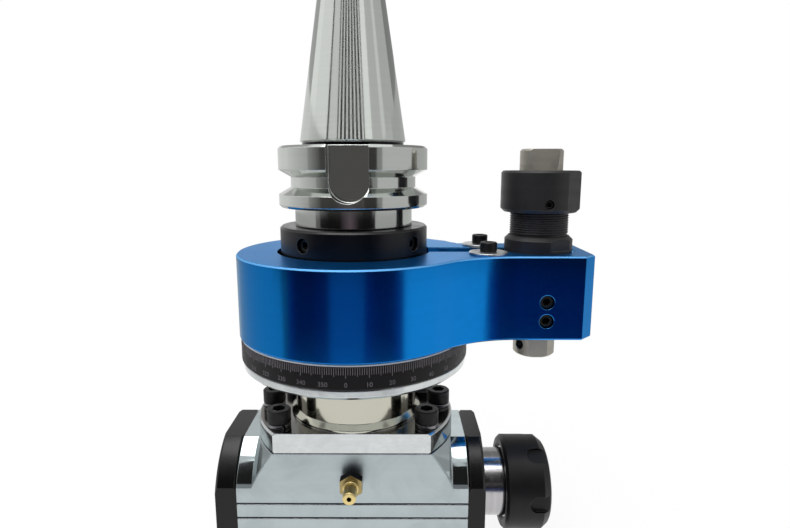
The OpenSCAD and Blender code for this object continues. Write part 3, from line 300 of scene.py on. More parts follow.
def edge_group():
    """Rounded normal and a mask of the worn edges, from a small bevel radius."""
    tree, given, result = new_group(
        "worn_edges",
        [("Point", VECTOR, None), ("Radius mm", FLOAT, 0.35)],
        [("Mask", FLOAT), ("Normal", VECTOR)],
    )
    radius = math_node(tree, "MULTIPLY", given["Radius mm"], MM)
    rounded = add(tree, "ShaderNodeBevel", {"Radius": radius}, samples=BEVEL_RAYS).outputs[0]
    true_normal = add(tree, "ShaderNodeNewGeometry").outputs["Normal"]
    alike = add(tree, "ShaderNodeVectorMath", {0: rounded, 1: true_normal}, operation="DOT_PRODUCT")
    bare = span(tree, alike.outputs["Value"], *WEAR_COSINES)
    patches = span(tree, noise(tree, given["Point"], *WEAR_PATCHES), *PATCH_EDGE)
    tree.links.new(math_node(tree, "MULTIPLY", bare, patches), result["Mask"])
    tree.links.new(rounded, result["Normal"])
    return tree


GRAINS = {"lathe": lathe_marks_group(), "grinding": grinding_group()}
SMUDGES = oil_smudge_group()
EDGES = edge_group()

# Machined finish; where a piece isn't turned about the shank, a move and a turn make its own axis Z
AXIS_MAPPING = {
    "stop": ((-STOP_AXIS_X, 0.0, 0.0), (0.0, 0.0, 0.0)),
    "spindle": ((-SPINDLE_AXIS_Z, 0.0, 0.0), (0.0, math.radians(90), 0.0)),
}
GRAIN_GLOSS_SHARE = 0.4
GRAIN_HEIGHT = 0.05 * MM


def turned_point(tree, axis):
    """The point on the piece, moved and turned so that the piece's own axis is Z."""
    point = object_point(tree)
    if axis == "shank":
        return point
    place, turn = AXIS_MAPPING[axis]
    return add(tree, "ShaderNodeMapping", {"Vector": point, "Location": place, "Rotation": turn}).outputs[0]


def metal(name, colour, roughness, axis="shank", grain="lathe", per_mm=4.0, bump=0.04, tone=0.12,
          smudge=0.08, smudge_mm=14.0, stain=0.0, edge_colour=None, edge_share=0.5, edge_mm=0.3,
          metallic=1.0, graze=WHITE, specular=0.5, paint=None, satin=None, satin_more=0.2):
    """A finish with grain, oil clouds and rounded edges; paint recolours and satin dulls it by place."""
    made, tree = material_tree(name)
    point = turned_point(tree, axis)
    marks = use_group(tree, GRAINS[grain], {"Point": point, "Marks per mm": per_mm})
    cloud = use_group(tree, SMUDGES, {"Point": point, "Size mm": smudge_mm})["Mask"]
    edges = use_group(tree, EDGES, {"Point": point, "Radius mm": edge_mm})
    base = blend_colour(tree, marks["Tone"], opaque(colour), darker(colour, tone))
    if stain > 0.0:
        base = blend_colour(tree, cloud, base, darker(colour, stain))
    if paint is not None:
        base = paint(tree, base)
    if edge_colour is not None:
        worn = math_node(tree, "MULTIPLY", edges["Mask"], edge_share)
        base = blend_colour(tree, worn, base, opaque(edge_colour))
    rough = math_node(tree, "ADD", roughness, math_node(tree, "MULTIPLY", cloud, smudge))
    grain_gloss = math_node(tree, "MULTIPLY", marks["Tone"], smudge * GRAIN_GLOSS_SHARE)
    rough = math_node(tree, "ADD", rough, grain_gloss)
    if satin is not None:
        rough = math_node(tree, "ADD", rough, math_node(tree, "MULTIPLY", satin(tree), satin_more))
    bumped = add(tree, "ShaderNodeBump", {
        "Strength": bump, "Distance": GRAIN_HEIGHT, "Height": marks["Height"], "Normal": edges["Normal"],
    }).outputs[0]
    shader = add(tree, "ShaderNodeBsdfPrincipled", {
        "Base Color": base, "Roughness": rough, "Normal": bumped, "Metallic": metallic,
        "Specular Tint": opaque(graze), "Specular IOR Level": specular,
    })
    add(tree, "ShaderNodeOutputMaterial", {"Surface": shader.outputs[0]})
    return made


# Colours of the finishes, linear
BLUE = (0.007, 0.25, 0.76)
BLUE_GRAZE = (0.75, 0.88, 0.85)
# Paler blue for worn edges, and for the painted highlights on the arm's edges and top chamfer
BLUE_EDGE = (0.22, 0.53, 0.82)
COLLAR_BLACK = (0.0016, 0.0012, 0.002)
STOP_BLACK = (0.009, 0.0075, 0.0085)
NUT_BLACK = (0.005, 0.0045, 0.005)
BLACK_WORN = (0.14, 0.14, 0.14)
SCREW_BLACK = (0.004, 0.0035, 0.004)
# Painted shade: the black set screws are painted darker still, as the shade deep in their holes
HOLE_SHADE_BLACK = (0.002, 0.002, 0.0025)
DIAL_BLACK = (0.005, 0.004, 0.0048)
COVER_BLACK = (0.003, 0.0027, 0.003)
ZINC = (0.66, 0.67, 0.68)
SPRING_ZINC = (0.26, 0.26, 0.27)
GROUND_STEEL = (0.62, 0.63, 0.62)
PIN_STEEL = (0.48, 0.455, 0.40)
SPRING_STEEL = (0.22, 0.22, 0.23)
BEARING_STEEL = (0.66, 0.67, 0.68)
GEAR_STEEL = (0.30, 0.30, 0.31)
PLATED = (0.66, 0.69, 0.69)
BOX_PLATED = (0.50, 0.565, 0.58)
WARM_STEEL = (0.54, 0.535, 0.45)
SHANK_STEEL = (0.63, 0.655, 0.625)
BRASS = (0.82, 0.65, 0.29)
NOZZLE_BLACK = (0.012, 0.010, 0.010)
RUBBER = (0.016, 0.016, 0.016)
SPINDLE_STEEL = (0.50, 0.49, 0.50)
ENGRAVED = (0.24, 0.22, 0.25)
NUMBER_GREY = (0.12, 0.11, 0.125)
# Painted shade for the relief under the taper and the foot of the neck
PAINTED_GAP_SHADE = (0.012, 0.012, 0.013)
GROOVE_INK = (0.035, 0.042, 0.05)
OIL_BROWN = (0.085, 0.068, 0.052)

# Finishes that change by place: sizes of the places and of their soft ends
SOFT_END = 0.2 * MM
WAIST_FOOT = 0.2 * MM
RIM_H = 4.2 * MM
OIL_FILM_HALF = 0.1 * MM
OIL_FILM_SOFT = 0.05 * MM
OIL_FILM_SHARE = 0.8
PLATE_JOINT_BELOW = 0.1 * MM
PLATE_JOINT_ABOVE = 0.45 * MM
PLATE_JOINT_SOFT = 0.08 * MM
# Places of the painted shade in the relief under the taper and the painted shadow at the foot of the neck
RELIEF_BOTTOM_Z = -1.85 * MM
RELIEF_TOP_Z = -0.5 * MM
RELIEF_SOFT = 0.1 * MM
NECK_JOINT_BELOW = 5.0 * MM
NECK_JOINT_ABOVE = 0.5 * MM
NECK_JOINT_SOFT = 0.15 * MM
GROOVE_DEPTH = 0.35 * MM
GROOVES_HALF = 7.5 * MM
GROOVE_LIP = (0.04 * MM, 0.12 * MM)
GROOVE_FLOOR = (GROOVE_DEPTH + 0.2 * MM, GROOVE_DEPTH + 0.05 * MM)
GROOVES_END = (GROOVES_HALF + 0.3 * MM, GROOVES_HALF)
ARM_CHAMFER = 0.6 * MM
CHAMFER_ROOM = 0.03 * MM
# Share of the painted highlight on the top chamfer of the arm
CHAMFER_HIGHLIGHT_SHARE = 0.7
ARM_TOP_SHARE = 0.33
MILLED_EDGE = (HOUSING_HALF_W - 0.9 * MM, HOUSING_HALF_W - 0.6 * MM)
NOZZLE_HEX_END = 6.3 * MM
NOZZLE_SOFT = 0.05 * MM
DIAL_CHAMFER = 0.35 * MM
DIAL_SOFT = 0.1 * MM
OVER_TOP = 1.0 * MM


def height_mask(tree, low, high, soft=SOFT_END):
    """1 between two heights of the piece, with short soft ends."""
    z = object_parts(tree)["Z"]
    above = span(tree, z, low - soft, low + soft)
    below = span(tree, z, high + soft, high - soft)
    return math_node(tree, "MULTIPLY", above, below)


def waist_warmth(tree, base):
    """The waist is bare steel, warmer than the plated rim; oil lies on the plate and a dark line under it."""
    waist = height_mask(tree, PLATE_TOP_Z + WAIST_FOOT, dial_low.z - RIM_H)
    warm = blend_colour(tree, waist, base, opaque(WARM_STEEL))
    film = height_mask(tree, PLATE_TOP_Z - OIL_FILM_HALF, PLATE_TOP_Z + OIL_FILM_HALF, OIL_FILM_SOFT)
    thin_film = math_node(tree, "MULTIPLY", film, OIL_FILM_SHARE)
    oiled = blend_colour(tree, thin_film, warm, opaque(OIL_BROWN))
    joint_low = PLATE_BOTTOM_Z - PLATE_JOINT_BELOW
    joint = height_mask(tree, joint_low, PLATE_BOTTOM_Z + PLATE_JOINT_ABOVE, PLATE_JOINT_SOFT)
    return blend_colour(tree, joint, oiled, opaque(GROOVE_INK))


def shank_gaps(tree, base):
    """Painted shade in the relief under the taper, and a painted shadow on the neck where it meets the
    collar.
    """
    relief = height_mask(tree, RELIEF_BOTTOM_Z, RELIEF_TOP_Z, RELIEF_SOFT)
    joint_low = COLLAR_TOP_Z - NECK_JOINT_BELOW
    joint = height_mask(tree, joint_low, COLLAR_TOP_Z + NECK_JOINT_ABOVE, NECK_JOINT_SOFT)
    return blend_colour(tree, math_node(tree, "MAXIMUM", relief, joint), base, opaque(PAINTED_GAP_SHADE))


def side_grooves(tree, base):
    """Oil and dirt in the scribed grooves on the two sides of the gearbox."""
    parts = object_parts(tree)
    depth = math_node(tree, "SUBTRACT", HOUSING_HALF_W, math_node(tree, "ABSOLUTE", parts["Y"]))
    sunk = span(tree, depth, *GROOVE_LIP)
    shallow = span(tree, depth, *GROOVE_FLOOR)
    rise = math_node(tree, "ABSOLUTE", math_node(tree, "SUBTRACT", parts["Z"], SPINDLE_AXIS_Z))
    near = span(tree, rise, *GROOVES_END)
    mask = math_node(tree, "MULTIPLY", math_node(tree, "MULTIPLY", sunk, shallow), near)
    return blend_colour(tree, mask, base, opaque(GROOVE_INK))


def arm_edge(tree):
    """1 on the top chamfer of the arm."""
    return height_mask(tree, arm_high.z - ARM_CHAMFER + CHAMFER_ROOM, arm_high.z - CHAMFER_ROOM, CHAMFER_ROOM)


def deburred_edge(tree, base):
    """A painted highlight: the top chamfer of the arm is painted paler blue."""
    bare = math_node(tree, "MULTIPLY", arm_edge(tree), CHAMFER_HIGHLIGHT_SHARE)
    return blend_colour(tree, bare, base, opaque(BLUE_EDGE))


def arm_top(tree):
    """1 on the top chamfer of the arm and less on its flat top; its turned and milled sides are brighter."""
    flat = span(tree, object_parts(tree)["Z"], arm_high.z - CHAMFER_ROOM, arm_high.z, 0.0, ARM_TOP_SHARE)
    return math_node(tree, "MAXIMUM", arm_edge(tree), flat)


def milled_sides(tree):
    """1 on the two flat milled sides of the gearbox, which are duller than its turned bosses."""
    sideways = math_node(tree, "ABSOLUTE", object_parts(tree)["Y"])
    return span(tree, sideways, *MILLED_EDGE)


def nozzle_nut(tree, base):
    """The neck and the hexagon of the nozzle are blackened."""
    reach = math_node(tree, "SUBTRACT", housing_low.y, object_parts(tree)["Y"])
    mask = span(tree, reach, NOZZLE_HEX_END + NOZZLE_SOFT, NOZZLE_HEX_END - NOZZLE_SOFT)
    return blend_colour(tree, mask, base, opaque(NOZZLE_BLACK))


def dial_edge(tree, base):
    """The top chamfer of the dial is bare metal."""
    mask = height_mask(tree, dial_high.z - DIAL_CHAMFER, dial_high.z + OVER_TOP, DIAL_SOFT)
    return blend_colour(tree, mask, base, opaque(ZINC))


FINISHES = {
    # The arm's pale edge colour is partly wear and partly a painted highlight on the rims of its edges and
    # holes
    "blue_anodised": dict(
        colour=BLUE, roughness=0.17, per_mm=3.0, bump=0.012, tone=0.04, smudge=0.02, edge_colour=BLUE_EDGE,
        edge_share=0.4, edge_mm=0.4, graze=BLUE_GRAZE, paint=deburred_edge, satin=arm_top, satin_more=0.48,
    ),
    "collar_oxide": dict(
        colour=COLLAR_BLACK, roughness=0.26, per_mm=3.0, bump=0.03, tone=0.25, smudge=0.1,
        edge_colour=BLACK_WORN, edge_share=0.5, metallic=0.0, specular=0.4,
    ),
    "stop_oxide": dict(
        colour=STOP_BLACK, roughness=0.4, axis="stop", per_mm=3.0, bump=0.04, tone=0.25, smudge=0.12,
        edge_colour=BLACK_WORN, edge_share=0.25, metallic=0.0,
    ),
    "nut_oxide": dict(
        colour=NUT_BLACK, roughness=0.36, axis="spindle", per_mm=3.0, bump=0.05, tone=0.25, smudge=0.12,
        edge_colour=BLACK_WORN, edge_share=0.35, metallic=0.0, specular=0.26,
    ),
    "screw_black": dict(
        colour=SCREW_BLACK, roughness=0.36, grain="grinding", per_mm=2.0, bump=0.08, tone=0.3, smudge=0.15,
        smudge_mm=5.0, edge_colour=BLACK_WORN, edge_share=0.25, metallic=0.0, specular=0.32,
    ),
    # Black set screws, painted darker and duller than the other screws as painted shade in their holes
    "hole_shade_black": dict(
        colour=HOLE_SHADE_BLACK, roughness=0.6, grain="grinding", per_mm=2.0, bump=0.08, tone=0.3, metallic=0.0,
    ),
    "dial_black": dict(
        colour=DIAL_BLACK, roughness=0.36, per_mm=5.0, bump=0.05, tone=0.2, smudge=0.1, metallic=0.0,
        specular=0.2, paint=dial_edge,
    ),
    "cover_black": dict(
        colour=COVER_BLACK, roughness=0.22, axis="spindle", per_mm=3.0, bump=0.03, tone=0.2, smudge=0.08,
        edge_colour=BLACK_WORN, edge_share=0.35, metallic=0.0, specular=0.3,
    ),
    "zinc_steel": dict(
        colour=ZINC, roughness=0.28, grain="grinding", per_mm=3.0, smudge=0.15, smudge_mm=4.0,
    ),
    "spring_zinc": dict(
        colour=SPRING_ZINC, roughness=0.28, grain="grinding", per_mm=3.0, smudge=0.15, smudge_mm=4.0,
    ),
    "ground_steel": dict(colour=GROUND_STEEL, roughness=0.2, per_mm=6.0),
    "pin_steel": dict(
        colour=PIN_STEEL, roughness=0.36, axis="stop", per_mm=3.0, bump=0.06, tone=0.15, smudge=0.15,
        edge_colour=GROUND_STEEL, edge_share=0.4,
    ),
    "spring_steel": dict(colour=SPRING_STEEL, roughness=0.3, axis="stop"),
    "bearing_steel": dict(colour=BEARING_STEEL, roughness=0.1, smudge=0.05),
    "gear_steel": dict(colour=GEAR_STEEL, roughness=0.28, grain="grinding"),
    "plated_steel": dict(
        colour=PLATED, roughness=0.09, per_mm=5.0, bump=0.02, tone=0.08, smudge=0.08, stain=0.12,
        edge_colour=ZINC, edge_share=0.6, edge_mm=0.4, paint=waist_warmth,
    ),
    "box_plated": dict(
        colour=BOX_PLATED, roughness=0.05, grain="grinding", per_mm=4.0, bump=0.012, tone=0.03, smudge=0.05,
        smudge_mm=22.0, stain=0.14, edge_colour=ZINC, edge_share=0.7, edge_mm=0.4, paint=side_grooves,
        satin=milled_sides, satin_more=0.33,
    ),
    "shank_steel": dict(
        colour=SHANK_STEEL, roughness=0.085, per_mm=6.0, bump=0.01, tone=0.03, smudge=0.03, edge_colour=ZINC,
        edge_share=0.8, edge_mm=0.4, paint=shank_gaps,
    ),
    "spindle_steel": dict(colour=SPINDLE_STEEL, roughness=0.12, axis="spindle", per_mm=5.0, bump=0.02),
    "nozzle_brass": dict(
        colour=BRASS, roughness=0.26, grain="grinding", per_mm=4.0, bump=0.03, tone=0.1, smudge=0.1,
        smudge_mm=4.0, paint=nozzle_nut,
    ),
    "seal_rubber": dict(
        colour=RUBBER, roughness=0.55, grain="grinding", per_mm=2.0, bump=0.2, tone=0.3, metallic=0.0,
    ),
    "engraved_paint": dict(
        colour=ENGRAVED, roughness=0.5, grain="grinding", per_mm=5.0, bump=0.1, tone=0.3, smudge=0.2,
        smudge_mm=3.0, metallic=0.0,
    ),
    "number_paint": dict(
        colour=NUMBER_GREY, roughness=0.5, grain="grinding", per_mm=5.0, bump=0.1, tone=0.3, smudge=0.2,
        smudge_mm=3.0, metallic=0.0, specular=0.3,
    ),
}
MATERIALS = {name: metal(name, **finish) for name, finish in FINISHES.items()}

FINISH_OF = {
    "blue_anodised": ["arm_body"],
    "collar_oxide": ["lock_collar"],
    "stop_oxide": ["stop_bush", "stop_sleeve", "stop_cap"],
    "nut_oxide": ["clamping_nut"],
    "screw_black": ["finger_screws", "plate_screws", "cover_screws"],
    "hole_shade_black": ["cap_set_screw", "bush_set_screws", "collar_set_screws"],
    "dial_black": ["dial_ring"],
    "cover_black": ["rear_cover", "front_cover"],
    "zinc_steel": ["finger_washers"],
    "spring_zinc": ["plate_washers"],
    "ground_steel": ["bearing_cap", "spindle_spacer", "input_spacer", "input_gear_key", "output_gear_key"],
    "pin_steel": ["stop_pin", "pin_circlip", "finger_dowel", "lock_finger"],
    "spring_steel": ["finger_spring", "pin_spring", "lower_circlip", "spindle_circlip"],
    "bearing_steel": [
        "upper_bearing_outer", "upper_bearing_inner", "upper_bearing_balls", "upper_outer_spacer",
        "upper_inner_spacer", "lower_bearing_outer", "lower_bearing_inner", "lower_bearing_balls",
        "front_bearing_outer", "front_bearing_inner", "front_bearing_balls", "rear_bearing_outer",
        "rear_bearing_inner", "rear_bearing_balls",
    ],
    "gear_steel": [
        "input_gear", "output_gear", "shaft_locknut", "spindle_locknut", "clamp_ring", "clamp_screws",
        "gear_end_screw", "extractor_ring",
    ],
    "plated_steel": ["swivel_body"],
    "box_plated": ["gear_housing"],
    "shank_steel": ["taper_shank"],
    "spindle_steel": ["output_spindle", "collet"],
    "nozzle_brass": ["coolant_nozzle"],
    "seal_rubber": ["top_seal", "nose_seal"],
}


def finish_nodes():
    """Gives each node of the frame its finish."""
    for finish, names in FINISH_OF.items():
        for name in names:
            slots = nodes[name].data.materials
            slots.clear()
            slots.append(MATERIALS[finish])


# New pieces
WELD = 0.002 * MM


def new_piece(name, mesh, material):
    """Turns a bmesh into an object at the origin."""
    data = bpy.data.meshes.new(name)
    mesh.to_mesh(data)
    mesh.free()
    data.materials.append(material)
    piece = bpy.data.objects.new(name, data)
    bpy.context.scene.collection.objects.link(piece)
    return piece


def finish_piece(name, mesh, body, finish):
    """A piece of the head that rides on a body, where one is named."""
    piece = new_piece(name, mesh, MATERIALS[finish])
    if body is not None:
        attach(piece, body)
    return piece


def merged_copy(source):
    """A copy of a node's mesh with its loose triangles joined."""
    mesh = bmesh.new()
    mesh.from_mesh(nodes[source].data)
    bmesh.ops.remove_doubles(mesh, verts=mesh.verts, dist=WELD)
    return mesh


def joined_points(mesh, points):
    """Vertices at the points and the edges between them, to be spun."""
    verts = [mesh.verts.new(point) for point in points]
    edges = [mesh.edges.new(pair) for pair in zip(verts, verts[1:])]
    return verts + edges


# Graduated dial: one line for each degree, longer at 5 and 10, and a number at each 10
TICK_W = 0.15 * MM
TICK_PROUD = 0.03 * MM
TICK_TOP_Z = dial_high.z - 0.6 * MM
TICK_L = 2.9 * MM
TICK_L_FIVE = 3.5 * MM
TICK_L_TEN = 4.1 * MM
NUMBER_H = 1.8 * MM
NUMBER_Z = dial_low.z + 1.5 * MM
DIGIT_SHARE = 0.7
DIGIT_STEPS = 3


def tick_length(degree):
    """Length of the line at a degree."""
    if degree % 10 == 0:
        return TICK_L_TEN
    if degree % 5 == 0:
        return TICK_L_FIVE
    return TICK_L


def make_dial_lines():
    """The lines of the dial, as thin bars sunk into it."""
    mesh = bmesh.new()
    for degree in range(360):
        length = tick_length(degree)
        place = (
            Matrix.Rotation(math.radians(degree), 4, "Z")
            @ Matrix.Translation((0.0, -DIAL_R, TICK_TOP_Z - length / 2))
            @ Matrix.Diagonal((TICK_W, 2 * TICK_PROUD, length, 1.0))
        )
        bmesh.ops.create_cube(mesh, size=1.0, matrix=place)
    finish_piece("dial_lines", mesh, "gearbox", "engraved_paint")


def make_dial_numbers():
    """The numbers of the dial, bent round it."""
    mesh = bmesh.new()
    for degree in range(0, 360, 10):
        text = bpy.data.curves.new("dial_number", "FONT")
        text.body = str(degree)
        text.size = NUMBER_H / DIGIT_SHARE
        text.align_x = "CENTER"
        text.extrude = TICK_PROUD
        text.resolution_u = DIGIT_STEPS
        holder = bpy.data.objects.new("dial_number", text)
        bpy.context.scene.collection.objects.link(holder)
        flat = bpy.data.meshes.new_from_object(holder)
        before = len(mesh.verts)
        mesh.from_mesh(flat)
        mesh.verts.ensure_lookup_table()
        for vert in mesh.verts[before:]:
            turn = math.radians(degree) + vert.co.x / DIAL_R
            reach = DIAL_R + vert.co.z
            vert.co = (reach * math.sin(turn), -reach * math.cos(turn), NUMBER_Z + vert.co.y)
        bpy.data.objects.remove(holder)
        bpy.data.curves.remove(text)
        bpy.data.meshes.remove(flat)
    finish_piece("dial_numbers", mesh, "gearbox", "number_paint")


# Thread on the stop sleeve between the bush and the cap; its crest is given in shares of the pitch
THREAD_PITCH = 1.0 * MM
THREAD_DEPTH = 0.45 * MM
CREST_START = 0.4
CREST_END = 0.6
THREAD_STEPS = 72
THREAD_ROOM = 0.05 * MM
THREAD_SUNK = 0.02 * MM


def make_sleeve_thread():
    """The thread as a spun ridge, its foot a little inside the sleeve."""
    mesh = bmesh.new()
    bottom = BUSH_TOP_Z + THREAD_ROOM
    turns = int((CAP_BOTTOM_Z - bottom) / THREAD_PITCH) - 1
    root = SLEEVE_R - THREAD_SUNK
    crest = root + THREAD_DEPTH
    ridge = joined_points(mesh, [
        (root, 0.0, bottom),
        (crest, 0.0, bottom + CREST_START * THREAD_PITCH),
        (crest, 0.0, bottom + CREST_END * THREAD_PITCH),
        (root, 0.0, bottom + THREAD_PITCH),
    ])
    bmesh.ops.spin(
        mesh, geom=ridge, cent=(0.0, 0.0, 0.0), axis=(0.0, 0.0, 1.0),
        dvec=(0.0, 0.0, THREAD_PITCH / THREAD_STEPS), angle=2 * math.pi * turns, steps=THREAD_STEPS * turns,
    )
    bmesh.ops.remove_doubles(mesh, verts=mesh.verts, dist=WELD)
    bmesh.ops.recalc_face_normals(mesh, faces=mesh.faces)
    bmesh.ops.translate(mesh, verts=mesh.verts, vec=(STOP_AXIS_X, 0.0, 0.0))
    finish_piece("sleeve_thread", mesh, "arm", "stop_oxide")


# Arm: its fillets run out further along the arm than those of the solid
ARM_HALF = 20.0 * MM
SOLID_FILLET = 20.0 * MM
WIDE_FILLET = 42.0 * MM
OUTLINE_ROOM = 0.1 * MM
SHARP_EDGE = math.radians(25)


def fillet_end(fillet):
    """X at which a fillet of that radius runs out on the straight side of the arm."""
    return math.sqrt((RING_R + fillet) ** 2 - (ARM_HALF + fillet) ** 2)


def on_wide_fillet(point):
    """Where a point of the solid's fillet lies on the wide one; a point elsewhere stays."""
    solid_end = fillet_end(SOLID_FILLET)
    wide_end = fillet_end(WIDE_FILLET)
    wide_slope = wide_end / (RING_R + WIDE_FILLET)
    across = abs(point.y)
    away = math.hypot(point.x, across)
    if point.x > solid_end + OUTLINE_ROOM or point.x < away * wide_slope:
        return point
    if point.x < away * solid_end / (RING_R + SOLID_FILLET):
        inset = RING_R - away
    else:
        inset = math.hypot(solid_end - point.x, ARM_HALF + SOLID_FILLET - across) - SOLID_FILLET
    if inset < -OUTLINE_ROOM or inset > ARM_CHAMFER + OUTLINE_ROOM:
        return point
    start = (RING_R - inset) * wide_slope
    share = (point.x - start) / (solid_end - start)
    x = start + share * (wide_end - start)
    reach = math.sqrt((WIDE_FILLET + inset) ** 2 - (wide_end - x) ** 2)
    return Vector((x, math.copysign(ARM_HALF + WIDE_FILLET - reach, point.y), point.z))


def make_arm():
    """The arm with the wide fillets, shown in place of the solid one."""
    mesh = merged_copy("arm_body")
    for vert in mesh.verts:
        vert.co = on_wide_fillet(vert.co)
    arm = finish_piece("swivel_arm", mesh, "arm", "blue_anodised")
    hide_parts("arm_body")
    solid_normals = arm.data.attributes.get("custom_normal")
    if solid_normals is not None:
        arm.data.attributes.remove(solid_normals)
    arm.data.shade_smooth()
    arm.data.set_sharp_from_angle(angle=SHARP_EDGE)
    even = arm.modifiers.new("even_shading", "WEIGHTED_NORMAL")
    even.keep_sharp = True


def make_spring(name, source, body=None):
    """A copy of a spring, shown in place of the solid one."""
    spring = finish_piece(name, merged_copy(source), body, "spring_steel")
    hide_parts(source)
    return spring


def make_springs():
    """The two springs; the pin spring rides on the arm, and the finger spring rides on no body."""
    coil = make_spring("pin_spring_coil", "pin_spring", "arm")
    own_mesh(coil)
    coil = make_spring("finger_spring_coil", "finger_spring")
    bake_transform(coil)


# Light tent: white all round, with dark panels that only reflections see; lengths in metres
TENT_LEVEL = 0.75
BACKGROUND_LEVEL = 1.0


def stage_piece(name, mesh, material):
    """A piece of the tent, which isn't part of the head."""
    piece = new_piece(name, mesh, material)
    return piece


def seen_as_background(tree):
    """1 for rays that show the background: from the camera, mirrored or through glass."""
    path = add(tree, "ShaderNodeLightPath").outputs
    mirrored = math_node(tree, "ADD", path["Is Camera Ray"], path["Is Glossy Ray"])
    return math_node(tree, "ADD", mirrored, path["Is Transmission Ray"], clamp=True)


def make_world():
    """The cloth of the tent: white where it is seen, and a little weaker as a light."""
    world = bpy.data.worlds.new("light_tent")
    bpy.context.scene.world = world
    world.use_nodes = True
    tree = world.node_tree
    tree.nodes.clear()
    strength = span(tree, seen_as_background(tree), 0.0, 1.0, TENT_LEVEL, BACKGROUND_LEVEL)
    light = add(tree, "ShaderNodeBackground", {"Color": opaque(WHITE), "Strength": strength})
    add(tree, "ShaderNodeOutputWorld", {"Surface": light.outputs[0]})


# Floor: white with a faint shadow near the head, and clear from below
FLOOR_HALF = 3.0
FLOOR_DROP = 0.1 * MM
FLOOR_PALE = (0.86, 0.86, 0.86)
FLOOR_PALER = (0.9, 0.9, 0.9)
FLOOR_SHADOW_SHARE = 0.12
SHADOW_NEAR = 0.08
SHADOW_FAR = 0.26


def floor_material():
    """The material of the floor."""
    made, tree = material_tree("tent_floor")
    grain = add(tree, "ShaderNodeTexNoise", {"Scale": 30.0, "Detail": 2.0}).outputs[0]
    pale = blend_colour(tree, grain, opaque(FLOOR_PALE), opaque(FLOOR_PALER))
    lit = add(tree, "ShaderNodeBsdfDiffuse", {"Color": pale})
    white = add(tree, "ShaderNodeEmission", {"Color": opaque(WHITE), "Strength": BACKGROUND_LEVEL})
    away = axis_distance(tree, object_parts(tree))
    white_share = span(tree, away, SHADOW_NEAR, SHADOW_FAR, 1.0 - FLOOR_SHADOW_SHARE, 1.0)
    share = math_node(tree, "MULTIPLY", seen_as_background(tree), white_share)
    mixed = add(tree, "ShaderNodeMixShader", {0: share, 1: lit.outputs[0], 2: white.outputs[0]})
    below = add(tree, "ShaderNodeNewGeometry").outputs["Backfacing"]
    clear = add(tree, "ShaderNodeBsdfTransparent")
    sided = add(tree, "ShaderNodeMixShader", {0: below, 1: mixed.outputs[0], 2: clear.outputs[0]})
    add(tree, "ShaderNodeOutputMaterial", {"Surface": sided.outputs[0]})
    return made


def make_floor():
    """The floor, just under the head."""
    mesh = bmesh.new()
    place = Matrix.Translation((0.0, 0.0, FLOOR_Z - FLOOR_DROP))
    bmesh.ops.create_grid(mesh, x_segments=1, y_segments=1, size=FLOOR_HALF, matrix=place)
    stage_piece("tent_floor", mesh, floor_material())


# Panels of the tent in tiers about the shank axis
PANEL_R = 0.45
PANEL_STEPS = 8
TABLE_R = 0.275
TABLE_Z = FLOOR_Z + 0.5 * MM
TIER_LOW_Z = -0.12
TIER_COLLAR_Z = -0.064
TIER_MID_Z = 0.125
TIER_TOP_Z = 0.7
NIGHT_TINT = (0.3, 0.5, 1.8)
DUSK_TINT = (1.0, 0.74, 0.92)
BLUE_DUSK_TINT = (0.6, 0.9, 1.45)
WARM_TINT = (1.0, 0.95, 0.93)
CLOTH_TINT = WHITE
# Each panel: start and end in degrees from the camera side, positive to the right, brightness, tint and,
# where it fades, its brightness at the end.
# The low tier begins at the edge of the white table that the head stands on.
LOW_TIER = [
    (-165, -135, 0.6, CLOTH_TINT), (-135, -63, 0.5, CLOTH_TINT), (-63, -57, 0.2, WARM_TINT),
    (-57, -51, 0.08, NIGHT_TINT), (-51, -31, 0.035, NIGHT_TINT), (-31, -18, 0.05, NIGHT_TINT),
    (-18, 12, 0.19, BLUE_DUSK_TINT), (12, 20, 0.07, NIGHT_TINT), (20, 40, 0.045, NIGHT_TINT),
    (40, 48, 0.1, NIGHT_TINT), (48, 100, 0.74, CLOTH_TINT), (100, 165, 0.6, CLOTH_TINT),
]
COLLAR_TIER = [
    (-165, -72, 0.42, CLOTH_TINT), (-72, -62, 0.12, WARM_TINT), (-62, -22, 0.004, WARM_TINT),
    (-22, -3, 0.005, DUSK_TINT, 0.12), (-3, 14, 0.12, DUSK_TINT, 0.005), (14, 44, 0.006, WARM_TINT),
    (44, 100, 0.43, CLOTH_TINT), (100, 165, 0.55, CLOTH_TINT),
]
MID_TIER = [
    (-165, -108, 0.75, CLOTH_TINT, 0.8), (-108, -64, 0.76, CLOTH_TINT, 0.48),
    (-64, -44, 0.34, CLOTH_TINT, 0.1), (-44, -20, 0.07, WARM_TINT), (-20, 20, 0.1, WARM_TINT),
    (20, 38, 0.05, WARM_TINT), (38, 46, 0.3, CLOTH_TINT), (46, 100, 0.6, CLOTH_TINT),
    (100, 165, 0.5, CLOTH_TINT),
]
TOP_TIER = [
    (-170, -116, 0.45, CLOTH_TINT), (-92, -54, 0.92, CLOTH_TINT), (-54, -50, 0.03, CLOTH_TINT),
    (-50, -30, 0.76, CLOTH_TINT), (46, 70, 0.6, CLOTH_TINT), (70, 80, 0.78, CLOTH_TINT),
    (80, 118, 0.56, CLOTH_TINT), (118, 170, 0.28, CLOTH_TINT),
]
# Dark room over the camera, and the white slats in front of it that stripe the taper
ROOM = [(-30, 30, 0.02, WARM_TINT)]
ROOM_R = 0.44
ROOM_LOW_Z = 0.03
ROOM_TOP_Z = 0.5
SLAT_R = 0.16
SLAT_LOW_Z = 0.02
SLAT_TOP_Z = 0.2
SLAT_FIRST = -26
SLAT_STEP = 8.2
SLAT_COUNT = 7
SLAT_W = 3.8
SLAT_LEVEL = 0.8
SLAT_PROFILE = [(SLAT_R, SLAT_LOW_Z), (SLAT_R, SLAT_TOP_Z)]
